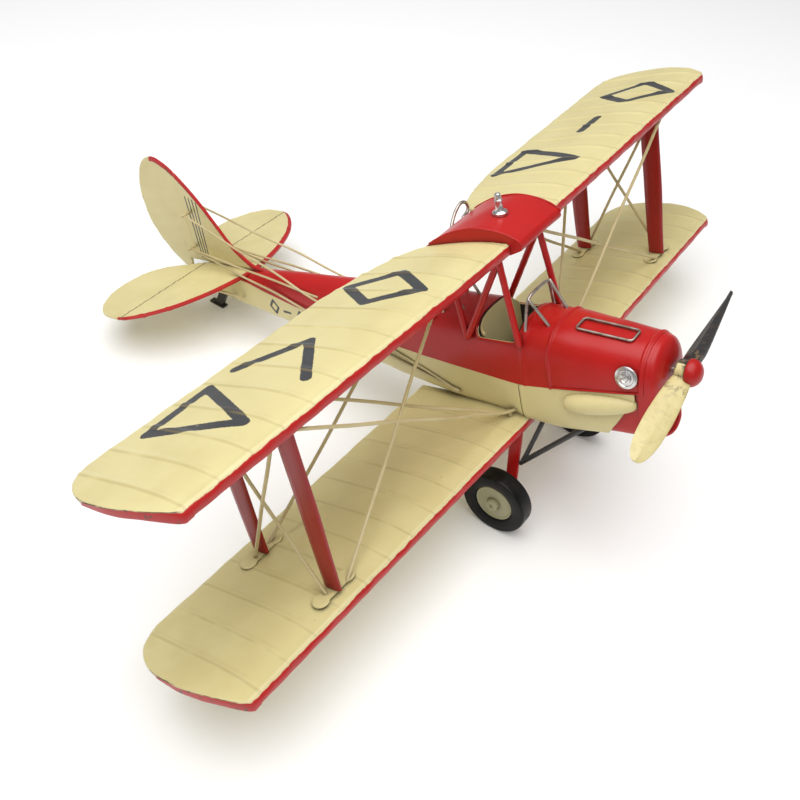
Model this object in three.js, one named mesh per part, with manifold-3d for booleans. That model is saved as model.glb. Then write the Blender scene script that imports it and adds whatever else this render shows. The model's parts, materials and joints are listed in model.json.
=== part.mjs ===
// A pressed-tinplate display model of a two-seat training biplane, in millimetres.
// The aircraft is drawn level: nose towards -Y, port wing towards +X, +Z up.
// The whole aircraft is then pitched nose-up so that it stands on its wheels and tail skid.
import * as THREE from 'three';
import { mergeVertices } from 'three/addons/utils/BufferGeometryUtils.js';
import Module from 'manifold-3d';

const wasm = await Module();
wasm.setup();

// Driving dimensions
const GAP = 0.3;
const SHEET = 0.7;
const STANCE_PITCH = THREE.MathUtils.degToRad(16.2);
const WIRE_R = 0.8;
const FRAME_WIRE_R = 0.75;
const HATCH_WIRE_R = 0.6;
const STRUT_ROD_R = 1.5;

const UPPER = { rootX: 19.2, tipX: 209.5, leadY: 3.9, leadSweep: 0.031, trailY: 64.5, trailSweep: 0.045,
  leadZ: 121.6, droop: 0.004, trailDrop: 4.0, edge: 4.8, camber: 2.4 };
const LOWER = { rootX: 19.4, tipX: 213, leadY: 3.9, leadSweep: 0.033, trailY: 70, trailSweep: 0.024,
  leadZ: 33.6, droop: 0.012, trailDrop: -2.2, edge: 4.5, camber: 2.6 };

const FRONT_STRUT_X = 146.8;
const FRONT_STRUT_Y = 16.6;
const REAR_STRUT_X = 143.5;
const REAR_STRUT_Y = 61.2;
const STRUT_CHORD = 9;
const STRUT_THICK = 2.6;
const FOOT_SHEET = 0.8;

const COWL_REAR_Y = -10;
const COWL_FRONT_Y = -55.4;
const NOSE_Y = -60.4;
const THRUST_Z = 68;
const PROP_Y = -66;
const PROP_R = 51;
const PROP_REST = THREE.MathUtils.degToRad(-13);
const BLADE_OFFSET = -1.0;
// Blade stations: radius, chord, thickness, pitch. One blade has been filed down to a dagger shape.
const FULL_BLADE = [[3, 4.4, 3, 70], [6, 7.4, 2.9, 70], [10, 9.2, 2.5, 69], [17, 10.8, 1.9, 67],
  [27, 11.8, 1.6, 64], [38, 11.2, 1.3, 60], [46, 8.6, 1.1, 57], [50, 4.8, 0.9, 55], [PROP_R, 1.8, 0.7, 54]];
const NARROW_BLADE = [[3, 5, 3, 70], [6, 10.4, 2.7, 70], [10, 11, 2.4, 70], [17, 10.2, 2, 68],
  [27, 8.2, 1.6, 65], [38, 5.6, 1.3, 62], [46, 3.2, 1.1, 60], [50, 1.6, 0.9, 58], [PROP_R, 0.8, 0.7, 57]];

// The tank's hand-cut edges lean, so that its front end sits towards the port side.
const TANK_REAR_X = 19.3;
const TANK_REAR_Y = 44;
const TANK_FRONT_Y = 3;
const TANK_FRONT_X = { port: 22, starboard: 13 };
const LOWER_ROOT_X = 11;

const WHEEL_X = 40.6;
const WHEEL_Y = 12.5;
const WHEEL_Z = 1.2;
const WHEEL_R = 17;
const WHEEL_W = 9;
const WHEEL_FACETS = 36;
const AXLE_R = 1.6;
const DISC_R = 9.9;

const TAILPLANE_Z = 76.5;
const TAIL_SHEET = 1.6;

// Colours of the paint and metal
const CREAM = { color: 0xe2d6a2, roughness: 0.42, metalness: 0.0 };
const RED = { color: 0xc4201c, roughness: 0.36, metalness: 0.0 };
const BLACK = { color: 0x1b1a19, roughness: 0.45, metalness: 0.0 };
const STEEL = { color: 0xa8a49a, roughness: 0.35, metalness: 1.0 };
const SILVER = { color: 0xc2c4c6, roughness: 0.3, metalness: 1.0 };
const TYRE = { color: 0x1d1d1e, roughness: 0.7, metalness: 0.0 };
const DISC = { color: 0xb9b592, roughness: 0.5, metalness: 0.0 };

// ---- solids ----------------------------------------------------------------

function closed(positions, indices) {
  // A manifold from points and triangles, turned outwards if the winding is inside out.
  const geometry = new THREE.BufferGeometry();
  geometry.setAttribute('position', new THREE.BufferAttribute(new Float32Array(positions), 3));
  if (indices) {
    geometry.setIndex(indices);
  }
  const merged = mergeVertices(geometry, 1e-3);
  const vertices = merged.getAttribute('position').array;
  const corners = [];
  let volume = 0;
  const a = new THREE.Vector3();
  const b = new THREE.Vector3();
  const c = new THREE.Vector3();
  for (let i = 0; i < merged.index.count; i += 3) {
    const [i0, i1, i2] = [0, 1, 2].map((k) => merged.index.getX(i + k));
    if (i0 === i1 || i1 === i2 || i2 === i0) {
      continue;
    }
    corners.push([i0, i1, i2]);
    a.fromArray(vertices, 3 * i0);
    b.fromArray(vertices, 3 * i1);
    c.fromArray(vertices, 3 * i2);
    volume += a.dot(b.cross(c));
  }
  const turned = volume < 0 ? corners.map(([p, q, r]) => [p, r, q]) : corners;
  return new wasm.Manifold(new wasm.Mesh({
    numProp: 3,
    vertProperties: new Float32Array(vertices),
    triVerts: new Uint32Array(turned.flat()),
  }));
}

function solidOf(geometry, matrix = new THREE.Matrix4()) {
  const index = geometry.index ? Array.from(geometry.index.array) : null;
  return closed(geometry.getAttribute('position').array, index).transform(matrix.elements.slice());
}

function loft(sections) {
  // Skin through equal-length closed loops of [x, y, z], capped at both ends.
  const count = sections[0].length;
  const points = sections.flat();
  const triangles = [];
  for (let s = 0; s < sections.length - 1; s += 1) {
    for (let i = 0; i < count; i += 1) {
      const j = (i + 1) % count;
      const p = s * count;
      triangles.push(p + i, p + j, p + count + j, p + i, p + count + j, p + count + i);
    }
  }
  [0, sections.length - 1].forEach((s) => {
    capFaces(sections[s]).forEach((trio) => {
      const face = trio.map((i) => s * count + i);
      triangles.push(...(s === 0 ? face.reverse() : face));
    });
  });
  return closed(points.flat(), triangles);
}

function capFaces(loop) {
  // Triangles over a flat loop, each running the same way round as the loop itself.
  const reach = (pick, k) => pick(...loop.map((v) => v[k]));
  const spread = [0, 1, 2].map((k) => reach(Math.max, k) - reach(Math.min, k));
  const flat = spread.indexOf(Math.min(...spread));
  const [u, v] = [0, 1, 2].filter((k) => k !== flat);
  const outline = loop.map((point) => new THREE.Vector2(point[u], point[v]));
  const way = Math.sign(THREE.ShapeUtils.area(outline));
  return THREE.ShapeUtils.triangulateShape(outline.slice(), []).map((trio) => (
    Math.sign(THREE.ShapeUtils.area(trio.map((i) => outline[i]))) === way ? trio : trio.slice().reverse()));
}

function prism(outline, axis, from, to) {
  // An outline of 2D points pushed along one axis; the points give the other two axes in order.
  const place = (u, v, w) => ({ x: [w, u, v], y: [u, w, v], z: [u, v, w] })[axis];
  return loft([from, to].map((w) => outline.map(([u, v]) => place(u, v, w))));
}

function rod(start, end, radius, sides = 6) {
  const a = new THREE.Vector3(...start);
  const b = new THREE.Vector3(...end);
  const run = b.clone().sub(a).normalize();
  const turn = new THREE.Quaternion().setFromUnitVectors(new THREE.Vector3(0, 1, 0), run);
  const middle = a.clone().add(b).multiplyScalar(0.5);
  const matrix = new THREE.Matrix4().compose(middle, turn, new THREE.Vector3(1, 1, 1));
  return solidOf(new THREE.CylinderGeometry(radius, radius, a.distanceTo(b), sides), matrix);
}

function longerRod(start, end, radius, extra) {
  const a = new THREE.Vector3(...start);
  const b = new THREE.Vector3(...end);
  const step = b.clone().sub(a).normalize().multiplyScalar(extra);
  return rod(a.sub(step).toArray(), b.add(step).toArray(), radius);
}

function ball(centre, radius) {
  const matrix = new THREE.Matrix4().makeTranslation(...centre);
  return solidOf(new THREE.SphereGeometry(radius, 6, 4), matrix);
}

function wirePath(points, radius, isLoop = false) {
  // Bent wire: straight runs with a rounded knuckle at each bend.
  let wire = null;
  const last = isLoop ? points.length : points.length - 1;
  for (let i = 0; i < last; i += 1) {
    const run = rod(points[i], points[(i + 1) % points.length], radius);
    wire = wire ? wire.add(run) : run;
    if (isLoop || i > 0) {
      wire = wire.add(ball(points[i], radius * 1.03));
    }
  }
  return wire;
}

function bentWire(points, radius, steps) {
  // Wire bent to a smooth curve through its points.
  const path = new THREE.CatmullRomCurve3(points.map((p) => new THREE.Vector3(...p)));
  const outline = new THREE.Shape(Array.from({ length: 7 }, (_, i) => (
    new THREE.Vector2(radius * Math.cos(i * 2 * Math.PI / 7), radius * Math.sin(i * 2 * Math.PI / 7)))));
  return solidOf(new THREE.ExtrudeGeometry(outline, { steps, extrudePath: path }));
}

function block(from, to) {
  const outline = [[from[0], from[1]], [to[0], from[1]], [to[0], to[1]], [from[0], to[1]]];
  return prism(outline, 'z', from[2], to[2]);
}

function turned(profile, axisPoint, axisDirection, segments) {
  // Profile of [radius, height] revolved about an axis; it starts and ends on the axis or closes on itself.
  const geometry = new THREE.LatheGeometry(profile.map(([r, h]) => new THREE.Vector2(r, h)), segments);
  const turn = new THREE.Quaternion().setFromUnitVectors(
    new THREE.Vector3(0, 1, 0), new THREE.Vector3(...axisDirection).normalize());
  const unit = new THREE.Vector3(1, 1, 1);
  const matrix = new THREE.Matrix4().compose(new THREE.Vector3(...axisPoint), turn, unit);
  return solidOf(geometry, matrix);
}

function mainBody(solid) {
  const pieces = solid.decompose();
  pieces.sort((p, q) => q.volume() - p.volume());
  return pieces[0];
}

function smooth(points, divisions) {
  const curve = new THREE.CatmullRomCurve3(points.map(([u, v]) => new THREE.Vector3(u, v, 0)));
  return curve.getPoints(divisions).map((p) => [p.x, p.y]);
}

// ---- wings -----------------------------------------------------------------

function lead(wing, x) {
  return wing.leadY + wing.leadSweep * (Math.abs(x) - wing.rootX);
}

function trail(wing, x) {
  return wing.trailY + wing.trailSweep * (Math.abs(x) - wing.rootX);
}

function camberZ(wing, x, share) {
  // Height of the middle of the section at a share of the chord.
  const base = wing.leadZ - wing.droop * (Math.abs(x) - wing.rootX) - wing.trailDrop * share;
  return base + wing.camber * Math.sin(Math.PI * Math.pow(share, 0.62));
}

function halfDepth(wing, share) {
  const swell = 0.35 * Math.sin(Math.PI * Math.min(1, share * 1.6));
  return 0.5 * wing.edge * (1 - 0.78 * Math.pow(share, 0.8)) + swell;
}

function chordShare(wing, x, y) {
  return THREE.MathUtils.clamp((y - lead(wing, x)) / (trail(wing, x) - lead(wing, x)), 0, 1);
}

function wingTop(wing, x, y) {
  const share = chordShare(wing, x, y);
  return camberZ(wing, x, share) + halfDepth(wing, share);
}

function wingBottom(wing, x, y) {
  const share = chordShare(wing, x, y);
  return camberZ(wing, x, share) - halfDepth(wing, share);
}

function wingSection(wing, x, inset) {
  const steps = [0, 0.03, 0.1, 0.22, 0.38, 0.58, 0.8, 1];
  const front = lead(wing, x);
  const chord = trail(wing, x) - front;
  const inner = (share) => front + inset + share * (chord - 2 * inset);
  const half = (share) => Math.max(halfDepth(wing, share) - inset, 0.08);
  const nose = (share) => (share === 0 ? 0.72 : 1);
  const top = steps.map((t) => [x, inner(t), camberZ(wing, x, t) + half(t) * nose(t)]);
  const bottom = steps.map((t) => [x, inner(t), camberZ(wing, x, t) - half(t) * nose(t)]);
  return [...top, ...bottom.reverse()];
}

function tankEdge(label, y) {
  // Distance of the tank's edge from the middle line, at y.
  const t = (y - TANK_FRONT_Y) / (TANK_REAR_Y - TANK_FRONT_Y);
  return TANK_FRONT_X[label] + t * (TANK_REAR_X - TANK_FRONT_X[label]);
}

function wingPanel(wing, side, innerEdge) {
  // innerEdge runs from front to rear in [distance from the middle line, y].
  const root = side * 8;
  const tip = side * (wing.tipX + 1);
  const skin = loft([wingSection(wing, root, 0), wingSection(wing, tip, 0)]);
  const hollow = loft([
    wingSection(wing, root - side * 2, SHEET),
    wingSection(wing, side * (wing.tipX - 12), SHEET),
  ]);
  const f = lead(wing, wing.tipX);
  const r = trail(wing, wing.tipX);
  const corner = smooth([
    [wing.tipX - 14, f - 3], [wing.tipX - 9.6, f - 0.2], [wing.tipX - 6.4, f + 5], [wing.tipX - 2.6, f + 16],
    [wing.tipX - 0.3, f + 28], [wing.tipX, f + 38], [wing.tipX - 1.6, r - 16], [wing.tipX - 6, r - 6.5],
    [wing.tipX - 14, r - 1], [wing.tipX - 28, r + 2],
  ], 26);
  const outline = [[wing.tipX - 14, f - 40], ...corner, ...innerEdge.slice().reverse()];
  const planform = prism(outline.map(([x, y]) => [side * x, y]), 'z', 0, 160);
  return skin.subtract(hollow).intersect(planform);
}

function upperPanel(label, side) {
  // The root follows the tank's edge and its rear corner is cut away in a curve.
  const cutaway = smooth([[TANK_REAR_X - 0.2, TANK_REAR_Y + 0.6], [22, 49.5], [30, 55.5], [42, 60.5],
    [60, 64.8], [84, 70]], 14);
  const root = [[tankEdge(label, -30), -30], [tankEdge(label, TANK_REAR_Y), TANK_REAR_Y]];
  return wingPanel(UPPER, side, [...root, ...cutaway]);
}

function lowerPanel(side) {
  // The root runs in under the fuselage and is cut to its skin.
  const panel = wingPanel(LOWER, side, [[LOWER_ROOT_X, -30], [LOWER_ROOT_X, 90]]);
  return mainBody(panel.subtract(hull(-50, 120, GAP)));
}

// ---- fuselage --------------------------------------------------------------

// Stations: y, half width, bottom, split line between cream and red, top, squareness of the top.
const STATIONS = [
  [-60.4, 9.6, 41.6, 64.4, 76.6, 2.0],
  [-59.7, 12.4, 39.2, 64.2, 79.2, 2.1],
  [-58.0, 14.8, 37.9, 63.9, 81.2, 2.2],
  [-55.4, 16.3, 37.2, 63.6, 82.4, 2.3],
  [-37.0, 17.7, 36.2, 61.2, 83.4, 2.7],
  [-10.0, 19.0, 33.6, 57.8, 84.4, 3.2],
  [6.0, 18.8, 34.0, 56.0, 84.6, 3.2],
  [28.0, 18.4, 35.6, 57.0, 84.4, 3.1],
  [50.0, 17.6, 37.4, 58.0, 84.2, 2.9],
  [78.0, 15.9, 40.4, 59.3, 83.9, 2.5],
  [110.0, 13.5, 45.0, 61.6, 83.2, 2.1],
  [142.0, 11.2, 50.0, 64.6, 81.6, 1.9],
  [175.0, 8.8, 53.8, 69.8, 78.9, 1.9],
  [198.0, 7.1, 56.2, 73.8, 76.4, 2.0],
  [243.0, 2.2, 61.0, 73.0, 75.2, 2.0],
];

function station(y) {
  let i = 0;
  while (i < STATIONS.length - 2 && y > STATIONS[i + 1][0]) {
    i += 1;
  }
  const [a, b] = [STATIONS[i], STATIONS[i + 1]];
  const t = THREE.MathUtils.clamp((y - a[0]) / (b[0] - a[0]), 0, 1);
  const [half, bottom, split, top, power] = [1, 2, 3, 4, 5].map((k) => a[k] + t * (b[k] - a[k]));
  return { half, bottom, split, top, power };
}

function deckZ(x, y) {
  // Height of the fuselage's upper surface.
  const { half, split, top, power } = station(y);
  return split + (top - split) * Math.pow(1 - Math.pow(Math.abs(x) / half, power), 1 / power);
}

function hullSection(y, grow) {
  const { half, bottom, split, top, power } = station(y);
  const points = [];
  const quarter = 7;
  const arc = (height, exponent, sign) => {
    for (let i = 0; i < 2 * quarter; i += 1) {
      const angle = Math.PI * i / (2 * quarter);
      const across = Math.sign(Math.cos(angle)) * Math.pow(Math.abs(Math.cos(angle)), 2 / exponent);
      const up = Math.pow(Math.sin(angle), 2 / exponent);
      points.push([sign * (half + grow) * across, y, split + sign * (height + grow) * up]);
    }
  };
  arc(top - split, power, 1);
  arc(split - bottom, 7, -1);
  return points;
}

function hull(fromY, toY, grow) {
  const between = STATIONS.map((s) => s[0]).filter((y) => y > fromY + 0.5 && y < toY - 0.5);
  return loft([fromY, ...between, toY].map((y) => hullSection(y, grow)));
}

function splitRegion(fromY, toY, isUpper) {
  // Everything above (or below) the split line, with half of the gap taken off.
  const between = STATIONS.map((s) => s[0]).filter((y) => y > fromY && y < toY);
  const line = [fromY, ...between, toY].map((y) => [y, station(y).split + (isUpper ? GAP / 2 : -GAP / 2)]);
  const far = isUpper ? 140 : 0;
  return prism([[fromY, far], ...line, [toY, far]], 'x', -40, 40);
}

const COCKPITS = {
  front: { fromY: 4.6, toY: 27.5, half: 16.8, floor: 45 },
  rear: { fromY: 51.5, toY: 74, half: 13.6, floor: 46 },
};

function cockpitOutline({ fromY, toY, half }, shrink) {
  const r = 3;
  const [f, t, h] = [fromY + shrink, toY - shrink, half - shrink];
  const corner = (cx, cy, start) => [0, 1, 2, 3].map((i) => {
    const angle = start + (Math.PI / 2) * (i / 3);
    return [cx + r * Math.cos(angle), cy + r * Math.sin(angle)];
  });
  return [
    ...corner(h - r, t - r, 0),
    ...corner(-h + r, t - r, Math.PI / 2),
    ...corner(-h + r, f + r, Math.PI),
    ...corner(h - r, f + r, 1.5 * Math.PI),
  ];
}

function cockpitLiner(cockpit) {
  const outer = prism(cockpitOutline(cockpit, GAP), 'z', cockpit.floor, 100);
  const inner = prism(cockpitOutline(cockpit, GAP + SHEET), 'z', cockpit.floor + SHEET, 120);
  const shell = hull(cockpit.fromY - 6, cockpit.toY + 6, -SHEET / 2);
  return outer.subtract(inner).intersect(shell);
}

function seatBack(cockpit) {
  // A curved sheet that lines the rear wall and its two corners.
  const step = GAP + SHEET + GAP;
  const outer = prism(cockpitOutline(cockpit, step), 'z', cockpit.floor + SHEET + GAP, 100);
  const inner = prism(cockpitOutline(cockpit, step + SHEET), 'z', cockpit.floor, 120);
  const rearEnd = block([-30, cockpit.toY - 4.6, 0], [30, cockpit.toY + 5, 100]);
  return outer.subtract(inner).intersect(rearEnd).intersect(hull(cockpit.fromY - 6, cockpit.toY + 6, -GAP));
}

function fuselageShell(fromY, toY) {
  return hull(fromY, toY, 0).subtract(hull(fromY - 4, toY - 2, -SHEET));
}

// ---- the registry of nodes ---------------------------------------------------

const nodes = [];
const rooms = [];

function keep(name, solid, look, takesSockets = false) {
  nodes.push({ name, solid, look, takesSockets });
}

function socketed(name, solid, room, look) {
  // A member whose ends enter its neighbours, with the clearance that its sockets need.
  keep(name, solid, look);
  rooms.push(room);
}

const SIDES = [['port', 1], ['starboard', -1]];
const at = (side, [x, y, z]) => [side * x, y, z];

function buildWings() {
  SIDES.forEach(([label, side]) => {
    keep(`upper_wing_${label}`, upperPanel(label, side), CREAM, true);
    keep(`lower_wing_${label}`, lowerPanel(side), CREAM, true);
  });
}

function buildTank() {
  // The red centre section: a folded cover whose top is a domed tank.
  const half = 26;
  const section = (x) => {
    const f = -1.4;
    const crest = [[f, 123.4], [0.2, 126], [7, 129.4], [19, 131.2], [31, 128.6], [40, 124.2], [45, 121]];
    const floor = [[45, 119.2], [20, 118.4], [3.5, 119.4], [f, 122]];
    return [...smooth(crest, 10), ...floor].map(([y, z]) => [x, y, z]);
  };
  const ends = [-10, 60];
  const plan = [
    ...ends.map((y) => [tankEdge('port', y) - GAP, y]),
    ...ends.reverse().map((y) => [GAP - tankEdge('starboard', y), y]),
  ];
  const body = loft([section(-half), section(half)]).intersect(prism(plan, 'z', 100, 150));
  const hollow = body.scale([0.92, 0.94, 0.84]).translate([0.3, 1.3, 19.8]);
  const vent = block([-6, 36, 110], [6, 38, 120.5]);
  keep('center_tank', body.subtract(hollow).subtract(vent), RED, true);
  const filler = turned([[0, -1.6], [1.2, -1.6], [1.2, 0.2], [3.4, 0.4], [3.4, 1.2], [1.5, 1.9], [1.4, 6.2],
    [1.9, 6.8], [1.9, 8.2], [1.1, 9.4], [0, 9.7]], [0.8, 16, 131.2], [0, 0, 1], 16);
  const fillerRoom = turned([[0, -1.95], [1.5, -1.95], [1.5, 0.1], [3.7, 0.1], [3.7, 3], [0, 3]],
    [0.8, 16, 131.1], [0, 0, 1], 16);
  socketed('tank_filler_cap', filler, fillerRoom, SILVER);
  const hookPath = [[3.2, 46.2, 119.4], [6, 46.5, 122.4], [9.3, 46.6, 125.2], [13.5, 46.6, 126.9],
    [17, 46.6, 125.8], [18.4, 46.5, 123], [17, 46.4, 120.9], [13, 46.2, 120.1]];
  keep('tank_lifting_hook', bentWire(hookPath, 0.9, 16), STEEL);
}

function buildFuselage() {
  const underTail = TAILPLANE_Z - TAIL_SHEET / 2 - GAP;
  const tailSeat = block([-14, 190.2, underTail], [14, 250, underTail + 20]);
  const lower = fuselageShell(6.2, 243).subtract(tailSeat).intersect(splitRegion(6.2, 198, false)
    .add(block([-30, 197.5, 0], [30, 250, 140])));
  keep('fuselage_lower_shell', mainBody(lower), CREAM, true);
  let deck = fuselageShell(COWL_REAR_Y + GAP / 2, 197.2).subtract(tailSeat)
    .intersect(splitRegion(-20, 197.2, true));
  Object.values(COCKPITS).forEach((cockpit) => {
    deck = deck.subtract(prism(cockpitOutline(cockpit, 0), 'z', 70, 120));
  });
  keep('fuselage_top_deck', mainBody(deck), RED, true);
  keep('front_cockpit_liner', cockpitLiner(COCKPITS.front), BLACK, true);
  keep('front_seat_back', seatBack(COCKPITS.front), CREAM);
  keep('rear_cockpit_liner', cockpitLiner(COCKPITS.rear), BLACK, true);
}

function bead(y, width, rise) {
  // A raised band around the skin of the cowl.
  const ring = (v, i) => hullSection(v, i === 1 ? rise : -SHEET / 3);
  const outer = loft([y - width / 2, y, y + width / 2].map(ring));
  return outer.subtract(hull(y - width, y + width, -SHEET / 2));
}

function buildNose() {
  const cowl = hull(COWL_FRONT_Y + GAP / 2, COWL_REAR_Y - GAP / 2, 0)
    .subtract(hull(COWL_FRONT_Y - 3, COWL_REAR_Y + 3, -SHEET))
    .add(bead(COWL_REAR_Y - 1.6, 2.4, 0.8))
    .add(bead(COWL_FRONT_Y + 1.5, 2.0, 0.6))
    .intersect(splitRegion(-58, -8, true));
  keep('cowl_top', mainBody(cowl), RED, true);
  const chin = hull(NOSE_Y, -52.4, 0).subtract(hull(-70, -50, -1.5));
  const lowerSkin = hull(NOSE_Y, 5.9, -SHEET - GAP).add(chin);
  const lowerNose = lowerSkin.subtract(hull(NOSE_Y + 1.8, 12, -2 * SHEET - GAP))
    .intersect(splitRegion(-70, 5.9, false));
  const intake = prism([[-5, 50], [5, 50], [7.5, 54], [5, 59], [-5, 59], [-7.5, 54]], 'y', -80, -57);
  keep('lower_nose', mainBody(lowerNose.subtract(intake)), RED, true);
  keep('chin_disc', turned([[0, 0], [2.2, 0], [2.2, 0.4], [0, 0.6]], [-6.6, NOSE_Y - 0.3, 44.6],
    [0.05, -1, 0], 14), DISC);
  const cap = hull(NOSE_Y, COWL_FRONT_Y - GAP / 2, 0).subtract(hull(NOSE_Y + 0.9, -50, -SHEET))
    .intersect(splitRegion(-70, -50, true));
  keep('nose_cap', mainBody(cap), RED, true);
}

function sidePanel(side) {
  // The cream lower panel with its pressed blister, wrapped over the lower nose.
  const skin = hull(-51.6, 5.9, 0).subtract(hull(-60, 8, -SHEET));
  const outline = smooth([[-51.4, 60.5], [-49, 56.8], [-44, 49], [-37.4, 39.1], [-33, 32], [-27, 26]], 12);
  const flank = prism([...outline, [5.9, 26], [5.9, 70], [-51.2, 70]], 'x', side * 9, side * 30);
  const panel = skin.intersect(splitRegion(-51.6, 5.9, false)).intersect(flank);
  const dome = solidOf(new THREE.SphereGeometry(1, 20, 12), new THREE.Matrix4().compose(
    new THREE.Vector3(side * 17.5, -34.7, 54.5),
    new THREE.Quaternion().setFromEuler(new THREE.Euler(THREE.MathUtils.degToRad(-8), 0, side * -0.055)),
    new THREE.Vector3(6.4, 17.2, 5.6)));
  const blister = dome.subtract(hull(-60, 8, -0.2));
  return mainBody(panel.add(blister).intersect(splitRegion(-60, 5.9, false)));
}

function buildNoseFittings() {
  SIDES.forEach(([label, side]) => keep(`side_panel_${label}`, sidePanel(side), CREAM, true));
  const capX = -station(-47).half * 0.985;
  keep('cowl_side_cap', turned([[0, 0.3], [5, 0.3], [5, 0.9], [3.6, 1.3], [3.4, 1], [2.6, 1], [2.3, 1.9],
    [1.2, 2.1], [0, 2.1]], [capX, -48.4, 71.5], [-1, -0.05, 0.22], 18), SILVER);
  const hatch = [[1.4, -20.6], [0.9, -47.2], [-6.8, -46.8], [-7.2, -20.4]].map(([x, y]) => {
    return [x, y, deckZ(x, y) + HATCH_WIRE_R + 2 * GAP];
  });
  keep('hatch_wire_frame', wirePath(hatch, HATCH_WIRE_R, true), STEEL);
}

function windscreen(y, frontHalf, rearHalf, topHalf) {
  // A bent-wire frame: a hoop with two legs by the cockpit and two raked legs ahead of it.
  const topZ = 97;
  const corners = [-1, 1].map((side) => [side * topHalf, y + 1.4, topZ]);
  const feet = [-1, 1].map((side) => [side * rearHalf, y + 2.6, deckZ(rearHalf, y + 2.6) - 1.4]);
  let frame = wirePath([feet[0], corners[0], corners[1], feet[1]], FRAME_WIRE_R);
  let room = frame;
  SIDES.forEach(([, side]) => {
    const foot = [side * frontHalf, y - 7.8, deckZ(frontHalf, y - 7.8) - 1.2];
    const rear = feet[side > 0 ? 1 : 0];
    const corner = corners[side > 0 ? 1 : 0];
    frame = frame.add(rod(corner, foot, FRAME_WIRE_R));
    room = room.add(longerRod(corner, foot, FRAME_WIRE_R + GAP, GAP));
    room = room.add(longerRod(corner, rear, FRAME_WIRE_R + GAP, GAP));
  });
  return { frame, room };
}

function buildWindscreens() {
  const front = windscreen(-0.4, 8, 13, 9.4);
  socketed('front_windscreen_frame', front.frame, front.room, STEEL);
  const rear = windscreen(46.4, 7, 10.6, 8);
  socketed('rear_windscreen_frame', rear.frame, rear.room, STEEL);
}

function footTop(x, y) {
  const highest = Math.max(...[-3.5, 3.5].map((dy) => wingTop(LOWER, x, y + dy)));
  return highest + GAP + FOOT_SHEET;
}

function lensSection(centre, chord, thick, z) {
  const points = [];
  for (let i = 0; i < 10; i += 1) {
    const t = (i / 10) * 2 * Math.PI;
    const across = Math.sin(t) * 0.5 * thick * Math.pow(Math.abs(Math.sin(t)), 0.2);
    points.push([centre[0] + across, centre[1] + 0.5 * chord * Math.cos(t), z]);
  }
  return points;
}

function interplaneStrut(side, x, y) {
  const low = footTop(x, y) + GAP;
  const high = wingBottom(UPPER, x, y) + 1;
  const span = (grow) => loft([
    lensSection([side * x, y], STRUT_CHORD + grow, STRUT_THICK + grow, low),
    lensSection([side * x, y], STRUT_CHORD + 1.4 + grow, STRUT_THICK + 0.3 + grow, (low + high) / 2),
    lensSection([side * x, y], STRUT_CHORD + 1.6 + grow, STRUT_THICK + grow, high + grow / 2),
  ]);
  return { solid: span(0), room: span(2 * GAP) };
}

function strutFoot(side, x, y) {
  // A two-lobed plate that lies on the lower wing under a strut.
  const top = footTop(x, y);
  const z = top - FOOT_SHEET;
  const lobes = [-8, 8].map((dx) => rod([side * x + dx, y, z], [side * x + dx, y, top], 3.6, 14));
  const bar = block([side * x - 8, y - 2.2, z], [side * x + 8, y + 2.2, top]);
  return lobes[0].add(lobes[1]).add(bar);
}

function wires(runs, radius) {
  // Rods that meet or cross, joined into one piece, and their sockets.
  let solid = null;
  let room = null;
  runs.forEach(([a, b]) => {
    const one = rod(a, b, radius);
    const wide = longerRod(a, b, radius + GAP, GAP);
    solid = solid ? solid.add(one) : one;
    room = room ? room.add(wide) : wide;
  });
  return { solid, room };
}

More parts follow.
